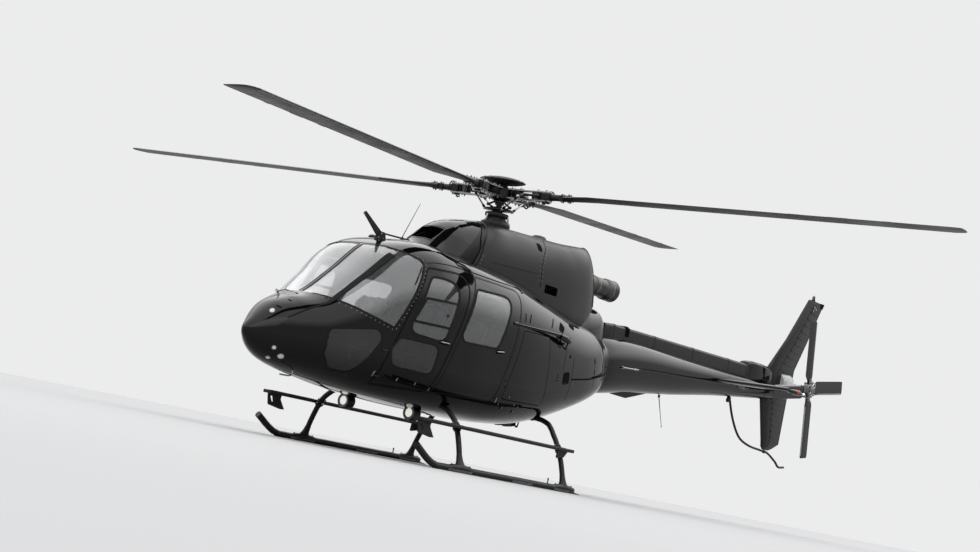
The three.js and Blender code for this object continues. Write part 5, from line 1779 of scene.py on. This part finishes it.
SWELLING = {"cell": 0.014, "pressure": 4, "frames": 16, "farthest": 0.010}
SEAT = {"x": 420, "half": 226}
SEAT_PADS = (
    # name, side outline
    ("base", ((-1722, 985, 40), (-1725, 1050, 45), (-1365, 1030, 30), (-1365, 965, 30))),
    ("back", ((-1360, 1045, 35), (-1240, 1600, 45), (-1175, 1590, 45), (-1285, 1035, 35))),
)
SEAT_SHELLS = (
    ((-1742, 935, 30), (-1742, 975, 20), (-1300, 955, 30), (-1290, 925, 20)),
    ((-1282, 950, 30), (-1262, 1015, 60), (-1150, 1612, 30), (-1128, 1602, 30), (-1225, 940, 60)),
)
SEAT_CHEEK = (
    (-1730, 940, 30), (-1715, 1030, 50), (-1400, 1015, 120), (-1300, 1150, 200), (-1215, 1500, 60),
    (-1150, 1500, 20), (-1240, 945, 40),
)
SEAT_RAILS = (
    # side-view line, radius
    (((-1640, 935), (-1600, 690)), 14),
    (((-1330, 930), (-1370, 690)), 14),
    (((-1680, 690), (-1270, 712)), 12),
)
STRAP = (
    # share of the distance from the seat's middle, station, height
    (0.75, -1178, 1600), (1, -1262, 1585), (1, -1330, 1380), (1, -1378, 1160), (1.2, -1400, 1070),
)
STICK = ((-1960, 650), (-1990, 820), (-1880, 960), (-1850, 1090))
STICK_GRIP = ((-1850, 1080), (-1842, 1190))
COLLECTIVE = ((-1560, 730), (-1750, 900))
PEDAL_ARM = ((-2330, 700), (-2360, 800), (-2330, 880))
BENCH_PADS = (
    ("base", ((-985, 985, 40), (-985, 1050, 45), (-630, 1028, 30), (-630, 962, 30))),
    ("back", ((-640, 1040, 35), (-470, 1580, 45), (-400, 1570, 40), (-560, 1030, 35))),
)
BENCH_SHELLS = (
    ((-1000, 925, 20), (-1000, 975, 20), (-600, 950, 20), (-600, 900, 20)),
    ((-575, 900, 20), (-455, 1590, 30), (-398, 1590, 20), (-392, 1560, 20), (-520, 900, 20)),
)
BENCH_HALF = 590
BENCH_LEGS = (((-930, 925), (-925, 715)), ((-630, 920), (-640, 730)))


def side_rod(x, line, radius, sides=12):
    """A tube along a side-view line at one distance from the middle."""
    return swept([(x, y, z) for y, z in line], radius, sides)


def cushion(name, corners, x0, x1, crown):
    """A crowned cushion from its side outline: it swells in the middle and draws in at its corners."""
    outline = rounded_outline(corners, 6)
    middle = outline.mean(axis=0)
    rings = []
    for t in np.linspace(-1, 1, 17):
        scale = 0.80 + 0.20 * (1 - abs(t) ** 6) ** 0.5
        x = (x0 + x1) / 2 + t * (x1 - x0) / 2
        ring = []
        for spot in outline:
            away = spot - middle
            push = 1 + crown * (1 - t * t) / max(np.linalg.norm(away), 1)
            ring.append((x, *(middle + away * scale * push)))
        rings.append(ring)
    thing = new_object(name, raw_mesh(name, lofted(rings)))
    fix_facing(thing.data)
    swell_cloth(thing)
    thing.data.shade_smooth()
    settle(thing, CLOTH, "airframe", None)


def swell_cloth(thing):
    """Remeshes a cushion and lets its cloth swell under pressure, with every point's travel capped."""
    remesh = thing.modifiers.new("remesh", "REMESH")
    remesh.mode = "VOXEL"
    remesh.voxel_size = SWELLING["cell"]
    bake_modifiers(thing)
    start = np.array([v.co for v in thing.data.vertices])
    cloth = thing.modifiers.new("cloth", "CLOTH")
    cloth.settings.quality = 4
    cloth.settings.use_pressure = True
    cloth.settings.uniform_pressure_force = SWELLING["pressure"]
    cloth.settings.effector_weights.gravity = 0
    cloth.point_cache.frame_start = 1
    cloth.point_cache.frame_end = SWELLING["frames"]
    for step in range(SWELLING["frames"]):
        bpy.context.scene.frame_set(step + 1)
    bake_modifiers(thing)
    bpy.context.scene.frame_set(1)
    travel = np.array([v.co for v in thing.data.vertices]) - start
    length = np.linalg.norm(travel, axis=1)
    travel *= (np.minimum(length, SWELLING["farthest"]) / np.maximum(length, 1e-9))[:, None]
    thing.data.vertices.foreach_set("co", (start + travel).ravel())
    thing.data.update()


def bake_modifiers(thing):
    graph = bpy.context.evaluated_depsgraph_get()
    baked = bpy.data.meshes.new_from_object(thing.evaluated_get(graph))
    thing.modifiers.clear()
    thing.data = baked


def seat_straps(x):
    shapes = []
    for dx in (-95, 95):
        path = smooth_path([(x + dx * share, y, z) for share, y, z in STRAP], 6)
        ups = np.tile((0.0, -0.97, 0.22), (len(path), 1))
        ups[:4] = (0.0, -0.3, 0.95)
        shapes.append(strip(path, ups, 46, 3, 2))
    return shapes


def pilot_controls(x, side):
    shapes = [
        side_rod(x - side * 20, STICK, 13),
        side_rod(x - side * 20, STICK_GRIP, 20, 14),
        side_rod(x + side * 255, COLLECTIVE, 14),
    ]
    for u in (x - 70, x + 70):
        shapes.append(side_rod(u, PEDAL_ARM, 10, 10))
        shapes.append(rounded_block(u - 42, u + 42, -2366, -2346, 850, 930, 8))
    return shapes


def make_seats():
    for name, side in SIDES:
        x = side * SEAT["x"]
        x0, x1 = x - SEAT["half"], x + SEAT["half"]
        for part, corners in SEAT_PADS:
            cushion(f"seat_{part}_pad_{name}", corners, x0 + 6, x1 - 6, 12)
        bucket = [side_prism(corners, x0, x1, 6) for corners in SEAT_SHELLS]
        bucket += [side_prism(SEAT_CHEEK, edge, edge + 16, 6) for edge in (x0, x1 - 16)]
        bucket += [side_rod(u, line, radius) for u in (x0 + 60, x1 - 60) for line, radius in SEAT_RAILS]
        piece(f"seat_bucket_{name}", bucket, TRIM, smooth=35, replaces=f"front_seat_{name}")
        piece(f"seat_straps_{name}", seat_straps(x), WEBBING)
        piece(f"pilot_controls_{name}", pilot_controls(x, side), TRIM)

    for part, corners in BENCH_PADS:
        cushion(f"bench_{part}_pad", corners, 5 - BENCH_HALF, BENCH_HALF - 5, 10)
    bench = [side_prism(corners, -BENCH_HALF, BENCH_HALF, 5) for corners in BENCH_SHELLS]
    bench += [side_rod(x, line, 16) for x in (-540, 0, 540) for line in BENCH_LEGS]
    piece("bench_frame", bench, TRIM, smooth=35, replaces="rear_bench")


PANEL_SIDE = (
    (-2440, 1010, 40), (-2432, 1222, 60), (-2262, 1312, 30), (-2196, 1300, 12), (-2208, 1130, 20),
    (-2090, 860, 40), (-2084, 650, 10), (-2140, 650, 10),
)
GLARE_SHIELD = (
    (-2400, 1262), (-2262, 1330), (-2176, 1338), (-2172, 1328), (-2262, 1316), (-2392, 1250),
)
GLARE_HALF = 275
GAUGES = {"at": (-190, -100, 0, 100, 190), "radius": 38, "y": -2201, "z": 1245}
PANEL_FACING = (0, 0.995, -0.075)
DISPLAYS = ((-225, -120, 1050, 1150), (-90, 90, 1035, 1175), (120, 225, 1050, 1150))
DISPLAY_FACE = -2190
PEDESTAL_FACING = (0, 0.92, 0.38)
COMPASS = (-32, 32, -2215, -2150, 1352, 1408, 12)
FLOOR_MAT = (-1980, -1790, 676, 684)


def make_panel():
    piece("panel_body", [side_prism(PANEL_SIDE, -258, 258, 6)], TRIM, smooth=35, replaces="instrument_panel")
    rings = []
    for x in np.linspace(-GLARE_HALF, GLARE_HALF, 13):
        drop = 26 * (abs(x) / GLARE_HALF) ** 3
        rings.append([(x, y, z - drop) for y, z in GLARE_SHIELD])
    piece("glare_shield", [lofted(rings)], RUBBER, smooth=50)

    faces, rims, knobs = [], [], []
    radius, y, z = GAUGES["radius"], GAUGES["y"], GAUGES["z"]
    rim = [(radius - 4, -2), (radius + 4, 0), (radius + 4, 8), (radius - 3, 9)]
    for x in GAUGES["at"]:
        rims.append(turned(rim, (x, y, z), PANEL_FACING, 28))
        faces.append(turned([(radius, 0), (radius, 3), (0.5, 4)], (x, y, z), PANEL_FACING, 28))
        knobs.append(turned([(6, 0), (7, 12), (3, 16)], (x + 40, y - 1, z - 45), PANEL_FACING, 12))
    y = DISPLAY_FACE
    for x0, x1, z0, z1 in DISPLAYS:
        faces.append(rounded_block(x0, x1, y - 6, y + 12, z0, z1, 6))
        rims.append(rounded_block(x0 - 10, x1 + 10, y - 10, y + 6, z0 - 10, z1 + 10, 6))
    for k in range(10):
        foot = (-90 + 20 * k, -2117, 900 + k % 2 * 26)
        knobs.append(turned([(5, 0), (6, 14), (3, 18)], foot, PEDESTAL_FACING, 10))
    piece("panel_displays", faces, SCREEN)
    piece("panel_bezels", rims, DULL_METAL, smooth=35)
    piece("panel_knobs", knobs, RUBBER)
    stalk = swept([(0, -2190, 1330), (0, -2190, 1360)], 8, 10)
    piece("panel_compass", [rounded_block(*COMPASS), stalk], TRIM)


def dress_floor():
    paint = finish("cabin_floor", (0.035, 0.035, 0.037), (0.6, 0.85), vary=0.25, patch=6.0,
                   grain=(700.0, 0.0006))
    for material_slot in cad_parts["cabin_floor"].material_slots:
        material_slot.material = paint
    mats = []
    for _, side in SIDES:
        x = side * SEAT["x"]
        mats.append(rounded_block(x - 200, x + 200, *FLOOR_MAT, 3))
    piece("floor_mats", mats, RUBBER, smooth=30)


make_seats()
make_panel()
dress_floor()

# Seals, seams, rivets, handles, lamps and fittings on the body

DOOR_SEAM = DOOR_GAP + 7
HEAD_SEAM = ((-470, -1948), (0, -1952), (470, -1948))
POST_SEAM = (-2660, -2440, -2200, -1985)
PANE_BARS = (
    # line, width
    (((-1775, 1598), (-1362, 1618)), 26),
    (((-1900, 1352), (-1440, 1362)), 28),
    (((-1770, 1590), (-1873, 1362)), 26),
)


def on_body(line):
    """Keeps the part of a side-view line that lies on the body, clear of the centre line."""
    fine = along_line(line, 12)
    return [(y, z) for y, z in fine if z < body.top(y) - 1.5 and body.side_x(y, z) > POST + 3]


def outline_ribbon(corners, grow, side, width, lift):
    """A ribbon round an outline that is grown by a distance."""
    outline = rounded_outline(inset(corners, -grow), 8)
    return ribbon(body, side, outline, width, lift, closed=True)


def make_seals():
    fixed, rivets, doors = [], [], {}
    for name, side in SIDES:
        fixed.append(outline_ribbon(CHIN_WINDOW, 3, side, 22, 1.8))
        fixed.append(outline_ribbon(REAR_WINDOW, 4, side, 26, 2.0))
        seals = [outline_ribbon(corners, 4, side, 26, 2.0) for corners in (DOOR_WINDOW, DOOR_LOWER_WINDOW)]
        doors[name] = seals + [outline_ribbon(FRONT_DOOR, -DOOR_SEAM, side, 13, 1.4)]
        fixed.append(outline_ribbon(REAR_DOOR, -DOOR_SEAM, side, 13, 1.4))
        edge = rounded_outline(WINDSCREEN, 10)
        lower = on_body([(y, z) for y, z in edge if z <= 1500 or y > -2120])
        fixed.append(ribbon(body, side, lower, 20, 1.8))
        screw_line = on_body(rounded_outline(inset(WINDSCREEN, -24), 10))
        rivets += dots(body, side, screw_line, 46, 5.5, 1.8)
        fixed.append(over_strip([(side * (POST - 1), y) for y in POST_SEAM], 12, 1.6))
    fixed.append(over_strip(HEAD_SEAM, 11, 1.4))
    piece("window_seals", fixed, RUBBER, smooth=30)
    for name, seals in doors.items():
        piece(f"door_window_seals_{name}", seals, RUBBER, f"front_door_{name}", 30)
    piece("windscreen_rivets", rivets, DULL_METAL, smooth=50)


def make_door_frames():
    """The sliding pane's frame inside each front door window."""
    for name, side in SIDES:
        rider = f"front_door_{name}"
        bars = [ribbon(body, side, line, width, -1.0, 14) for line, width in PANE_BARS]
        piece(f"pane_frame_{name}", bars, RUBBER, rider, 30)
        piece(f"pane_knob_{name}", [stud(*body.side_point(side, -1500, 1480), 14, 9, 16)], TRIM, rider)


HANDLE_CUP = {"long": 66, "high": 17, "corner": 14}
HANDLE_GRIP = (
    # distance along, lift, radius
    (-52, 2, 5), (-40, 13, 9), (-10, 17, 10.5), (30, 17, 10.5), (52, 12, 9), (60, 3, 5),
)


def make_handle(name, side, y, z, rider, tilt):
    ahead, behind = y - HANDLE_CUP["long"], y + HANDLE_CUP["long"]
    high = HANDLE_CUP["high"]
    corners = [(ahead, z - high), (behind, z - high + tilt), (behind, z + high + tilt), (ahead, z + high)]
    corners = [(u, v, HANDLE_CUP["corner"]) for u, v in corners]
    # The cup is near-black ribbons on the skin: painted shade for the handle's recess and the hollow under
    # its grip.
    cup = [
        ribbon(body, side, rounded_outline(corners, 4), 8, 3.0, closed=True),
        ribbon(body, side, [(y - 60, z), (y + 60, z + tilt)], 26, 1.2),
    ]
    piece(f"{name}_cup", cup, BLACK_AND_SHADE, rider, 30)
    spots = [body.side_point(side, y + dy, z + tilt * (dy + 60) / 120, lift)[0]
             for dy, lift, _ in HANDLE_GRIP]
    grip = swept(spots, [radius for _, _, radius in HANDLE_GRIP], 14, 5, 0.7)
    piece(f"{name}_grip", [grip], STEEL, rider, 60)


SHORT_MARKS = ((-490, 1000), (-484, 940), (470, 1206), (470, 1146), (476, 1180))
SEAM_LINES = (
    # line, width, lift
    (((779, 1200), (1200, 1262), (1783, 1392)), 20, 1.4),
    (((812, 1441), (786, 1260), (760, 1082), (745, 960)), 6, 0.9),
    (((640, 1536), (600, 1400), (572, 1262)), 5, 0.9),
    (((1352, 1500), (1346, 1350), (1338, 1200)), 5, 0.9),
    (((1366, 1509), (1366, 1457)), 13, 2.6),
    (((1340, 1382), (1340, 1330)), 13, 2.6),
    (((-227, 1737), (-252, 1650)), 13, 2.4),
    (((-115, 1748), (-168, 1652)), 13, 2.4),
    (((418, 1790), (322, 1680)), 13, 2.4),
    (((402, 1604), (470, 1600), (560, 1508), (600, 1500), (700, 1600), (770, 1640)), 22, 2.0),
)
SIDE_VENT = ((592, 1243, 14), (722, 1272, 30), (727, 1152, 20), (596, 1120, 14))
VENT_SHADE_STRIPS = {"count": 6, "pitch": 19, "start": (598, 1140), "end": (720, 1165)}
FILLER_CAP = (720, 1437)
SCOOPS = (
    ((500, 1690, 10), (600, 1786, 20), (672, 1740, 12), (585, 1668, 10)),
    ((838, 1780, 10), (880, 1808, 10), (1002, 1796, 12), (930, 1748, 10)),
)
DROP = ((420, 1592, 20), (520, 1590, 30), (500, 1500, 36), (440, 1498, 36))
HATCH_STUDS = ((-359, 847), (-212, 782), (-120, 770), (10, 772), (180, 786), (-470, 752))
RAIL = (
    # curve, radius, sides, steps
    (((893, -452, 1598), (886, -290, 1600), (878, 50, 1612), (852, 440, 1622)), 15.5, 16, 8),
    (((893, -470, 1597), (891, -400, 1598)), (18, 24), 18, 6),
    (((858, 400, 1612), (850, 490, 1604), (838, 590, 1588), (800, 680, 1590)), (26, 34, 30, 8), 20, 6),
)
RAIL_SLOT = (((904, -390, 1600), (893, 50, 1613), (868, 440, 1623)), 4.5, 8, 8)
CATCHES = {
    # by what they ride: station, height, half length
    "airframe": ((-2139, 782, 26), (-1518, 744, 14), (-558, 789, 24), (-382, 722, 14), (-150, 716, 12)),
    "front": ((-1894, 769, 15), (-1698, 766, 13)),
}
HINGES = ((-2118, 1010), (-2098, 760), (-2000, 1330))


def side_seams(side):
    def line(points, width, lift):
        return ribbon(body, side, points, width, lift)

    shapes = [line([(y - 16, z), (y + 16, z + 3)], 10, 2.2) for y, z in SHORT_MARKS]
    shapes += [line(*row) for row in SEAM_LINES]
    shapes.append(ribbon(body, side, rounded_outline(SIDE_VENT, 5), 9, 2.0, closed=True))
    # Overlapping near-black strips fill the vent: painted shade for the openings between its slats.
    (y0, z0), (y1, z1) = VENT_SHADE_STRIPS["start"], VENT_SHADE_STRIPS["end"]
    for k in range(VENT_SHADE_STRIPS["count"]):
        rise = k * VENT_SHADE_STRIPS["pitch"]
        shapes.append(line([(y0 + k, z0 + rise), (y1, z1 + rise)], 20, 1.1))
    shapes.append(stud(*body.side_point(side, *FILLER_CAP), 21, 2.2, 24))
    for corners in SCOOPS:
        outline = rounded_outline(corners, 4)
        middle = outline.mean(axis=0)
        shapes.append(ribbon(body, side, outline, 10, 1.6, closed=True))
        # Near-black rings fill each scoop's mouth: painted shade for the inside of the scoop.
        for share in (0.3, 0.6, 0.85):
            shapes.append(ribbon(body, side, middle + (outline - middle) * share, 24, 1.0, closed=True))
    shapes.append(ribbon(body, side, rounded_outline(DROP, 6), 12, 2.0, closed=True))
    return shapes


def side_tube(side, curve, radius, sides, steps):
    return swept([(side * x, y, z) for x, y, z in curve], radius, sides, steps)


def short_rod(side, ends, lift, radius, sides):
    return swept([body.side_point(side, y, z, lift)[0] for y, z in ends], radius, sides)


def make_door_details():
    for name, side in SIDES:
        door = f"front_door_{name}"
        make_handle(f"front_handle_{name}", side, -1490, 1213, door, 0)
        make_handle(f"rear_handle_{name}", side, -665, 1262, "airframe", 14)
        piece(f"side_seams_{name}", side_seams(side), BLACK_AND_SHADE, smooth=30)
        studs = [stud(*body.side_point(side, y, z), 8, 5, 10) for y, z in HATCH_STUDS]
        piece(f"side_fittings_{name}", studs, DULL_METAL)
        rivet_line = rounded_outline(inset(BAGGAGE_DOOR, -26), 5)[:-1]
        piece(f"side_rivets_{name}", dots(body, side, rivet_line, 44, 4.5, 1.4), GLOSS, smooth=50)
        piece(f"door_rail_{name}", [side_tube(side, *row) for row in RAIL], GLOSS, smooth=50)
        # The slot is a thin near-black tube along the rail: painted shade.
        piece(f"door_rail_slot_{name}", [side_tube(side, *RAIL_SLOT)], BLACK_AND_SHADE, smooth=50)
        for mover, rows in CATCHES.items():
            lines = [((y - 3, z + half), (y + 3, z - half)) for y, z, half in rows]
            catches = [short_rod(side, ends, 6, 7.5, 10) for ends in lines]
            rider = door if mover == "front" else mover
            piece(f"sill_catches_{name}_{mover}", catches, STEEL, rider, 50)
        hinges = [short_rod(side, [(y - 26, z), (y + 26, z)], 7, 8, 12) for y, z in HINGES]
        piece(f"front_hinges_{name}", hinges, GEAR_PAINT)


RIVET_LINES = (
    ((-1530, 668), (-1000, 690), (-600, 712), (-480, 738), (-100, 752), (500, 790), (900, 900)),
    ((-180, 1985), (-300, 1640), (-560, 780)),
    ((300, 1600), (320, 820)),
    ((960, 1780), (980, 1300), (960, 860)),
    ((1330, 1760), (1350, 1300), (1330, 960)),
    ((1960, 1760), (1965, 1500), (1960, 1240)),
    ((-2090, 600), (-1800, 640), (-1560, 650)),
)
NOSE_LAMPS = (
    # name, place, radius
    ("nose_lamp_top", (134, -3106, 1154), 24),
    ("nose_lamp_a", (205, -3054, 817), 20),
    ("nose_lamp_b", (214, -2956, 751), 30),
    ("nose_lamp_c", (109, -3014, 719), 22),
)
NOSE_SLOTS = (((128, -3062), (178, -3040)), ((142, -2938), (178, -2930)))
# A dark band over the windscreen and down the nose, narrowing forward: a painted reflection of a main rotor
# blade, built as a raised rubber strip.
BLADE_REFLECTION_LINE = (
    (472, -2010), (455, -2120), (419, -2333), (398, -2520), (388, -2660), (340, -2800), (316, -2883),
    (288, -2959), (262, -3012),
)
BLADE_REFLECTION_WIDTHS = ((-3012, 8), (-2900, 17), (-2700, 20), (-2600, 52), (-2010, 92))


def make_body_rivets():
    heads = []
    for _, side in SIDES:
        for line in RIVET_LINES:
            heads += dots(body, side, line, 40, 4.2, 1.2)
    piece("panel_rivets", heads, GLOSS, smooth=50)


def make_nose():
    for name, near, r in NOSE_LAMPS:
        u, angle = body.lookup([near])
        spot, up = body.shape(u, angle)[0], body.normal(u, angle)[0]
        rim = [(r * 0.9, -4), (r + 6, -2), (r + 5, 3), (r, 4), (r * 0.93, 1)]
        lens = [(r * 0.95, -3), (r * 0.93, 2), (r * 0.6, 5), (0.5, 6.5)]
        piece(f"{name}_rim", [turned(rim, spot, up)], DULL_METAL)
        piece(f"{name}_lens", [turned(lens, spot, up)], LENS, smooth=60)
    # The slots are near-black strips: painted shade for their openings.
    piece("nose_slots", [over_strip(line, 16, 2.0) for line in NOSE_SLOTS], BLACK_AND_SHADE, smooth=30)
    # The painted rotor blade reflection: a dark strip that narrows towards the nose.
    line = along_line(BLADE_REFLECTION_LINE, 20)
    spots, ups = zip(*[body.over_point(x, y) for x, y in line])
    widths = np.interp(line[:, 1], *zip(*BLADE_REFLECTION_WIDTHS))
    piece("painted_blade_reflection", [strip(spots, ups, widths[:, None], 6)], RUBBER)
    probes = []
    for x, y in ((-60, -2890), (-95, -2850)):
        spot, up = body.over_point(x, y)
        probes.append(swept([spot, spot + up * 30, spot + up * 40 - Vector(AFT) * 30], 5, 10))
    piece("nose_probes", probes, STEEL, smooth=60)
    spot, _ = body.under_point(150, -2700)
    pitot = swept([spot, spot + Vector((0, -20, -50)), spot + Vector((0, -160, -60))], 8, 12)
    piece("pitot_probe", [pitot], STEEL, smooth=60)
    studs = [stud(*body.over_point(x, -2640), 12, 8, 16) for x in (-335, 335)]
    piece("screen_studs", studs, TRIM)


CUTTER = (
    (-1800, 2075, 0), (-1790, 2170, 8), (-2030, 2345, 4), (-2005, 2365, 4), (-1690, 2190, 10),
    (-1650, 2075, 0),
)
CUTTER_RODS = (
    # line, radius
    (((0, -1800, 2200), (0, -1300, 2222)), 9),
    (((0, -1325, 2170), (0, -1305, 2224)), 14),
)
CUTTER_FOOT = ((-1800, 2120, 4), (-1760, 2215, 10), (-1690, 2215, 10), (-1640, 2110, 4))
CUTTER_EDGE = ((-2036, 2340, 2), (-2022, 2352, 2), (-1800, 2205, 2), (-1812, 2190, 2))
CUTTER_BOLTS = ((-1775, 2150), (-1700, 2150), (-1740, 2196))
AERIAL_TIP = (60, -1302, 2611)
GUTTER = (
    (-1900, 1700), (-1770, 1925), (-1500, 1985), (-1060, 1992), (-620, 1990), (-250, 1992), (-150, 1955),
)
BOOM_GRIP = ((2400, 1544), (2690, 1566))
BARE_PLATE = {"y": 5420, "z": 1776, "long": 165, "high": 40}
PLATE_RINGS = ((1, 7, 1.4), (0.16, 13, 0.5), (0.45, 13, 0.5), (0.74, 13, 0.5))


def make_roof():
    cutter = [side_prism(CUTTER, -9, 9, 4), side_prism(CUTTER_FOOT, -20, 20, 4)]
    cutter += [swept(line, radius, 12) for line, radius in CUTTER_RODS]
    piece("cutter_blade", cutter, TRIM, smooth=35, replaces="roof_cutter")
    edges = [side_prism(CUTTER_EDGE, -3, 3, 2)]
    edges += [turned([(9, -24), (9, 24)], (0, y, z), OUT, 6) for y, z in CUTTER_BOLTS]
    piece("cutter_edge", edges, STEEL, smooth=30)
    foot, _ = body.over_point(60, -1475)
    aerials = [
        turned([(20, -10), (20, 10), (12, 22), (6, 40)], foot, (0, 0.2, 1), 20),
        swept([foot + Vector(UP) * 30, AERIAL_TIP], (4.5, 2.5), 8),
    ]
    foot, _ = body.over_point(-260, -1560)
    aerials.append(turned([(45, -10), (47, 8), (35, 22), (1, 30)], foot, UP, 24))
    piece("roof_aerials", aerials, TRIM, smooth=45)
    gutters = [ribbon(body, side, smooth_path(GUTTER, 8), 14, 6) for _, side in SIDES]
    piece("roof_gutters", gutters, GLOSS)


def make_boom_details():
    grips, plates = [], []
    y, z, long, high = BARE_PLATE.values()
    for _, side in SIDES:
        (start, up), (end, up_end) = (boom.side_point(side, *spot) for spot in BOOM_GRIP)
        grips.append(swept([start, start + up * 35, end + up_end * 35, end], 8, 12, 8))
        grips += [stud(start, up, 17, 4, 16), stud(end, up_end, 17, 4, 16)]
        for share, width, lift in PLATE_RINGS:
            wide, tall = long * share, high * share
            outline = [(y + wide * math.cos(a), z + tall * math.sin(a)) for a in turn_steps(40)]
            plates.append(ribbon(boom, side, outline, width, lift, closed=True))
    piece("boom_handles", grips, STEEL, smooth=50)
    piece("bare_plates", plates, DULL_METAL)


make_seals()
make_door_frames()
make_door_details()
make_body_rivets()
make_nose()
make_roof()
make_boom_details()

# Studio: an even pale backdrop, brighter overhead, and a pale floor of the same tone

BACKDROP = {"horizon": 0.47, "high": 1.5, "strength": 1.78}
FLOOR_HALF = 90000
SOFT_LIGHTS = (
    # name, place, aim, size, watts
    ("overhead", (1, 1, 9), (0, 0, 1.5), (5, 14), 110),
    ("front_fill", (7, -13, 7), (0, -2, 1.5), (6, 5), 100),
)


def make_floor():
    half = FLOOR_HALF
    corners = [(x, y - MAST, 0) for x, y in ((-half, -half), (half, -half), (half, half), (-half, half))]
    floor = new_object("floor", raw_mesh("floor", (corners, [(0, 1, 2, 3)])))
    paint = finish("studio_floor", (0.27, 0.27, 0.273), (0.75, 0.85), vary=0.012, patch=0.4)
    floor.data.materials.append(paint)


def make_backdrop():
    world = bpy.data.worlds.new("studio")
    world.use_nodes = True
    nodes, links = world.node_tree.nodes, world.node_tree.links
    backdrop = nodes["Background"]
    backdrop.inputs["Strength"].default_value = BACKDROP["strength"]
    direction = nodes.new("ShaderNodeTexCoord")
    split = nodes.new("ShaderNodeSeparateXYZ")
    links.new(direction.outputs["Generated"], split.inputs["Vector"])
    low, high = [(v, v * 1.003, v * 1.008) for v in (BACKDROP["horizon"], BACKDROP["high"])]
    sky = ramp(nodes, links, split.outputs["Z"], [(0.0, low), (0.3, low), (0.52, high)])
    links.new(sky, backdrop.inputs["Color"])
    bpy.context.scene.world = world


def make_lamps():
    for name, spot, aim, size, power in SOFT_LIGHTS:
        data = bpy.data.lights.new(name, "AREA")
        data.shape = "RECTANGLE"
        data.size, data.size_y = size
        data.energy = power
        lamp = bpy.data.objects.new(name, data)
        lamp.location = spot
        lamp.rotation_euler = (Vector(aim) - Vector(spot)).to_track_quat("-Z", "Y").to_euler()
        bpy.context.scene.collection.objects.link(lamp)


make_floor()
make_backdrop()
make_lamps()
bpy.context.scene.view_settings.view_transform = "Standard"

for left_over in tools:
    bpy.data.objects.remove(left_over)
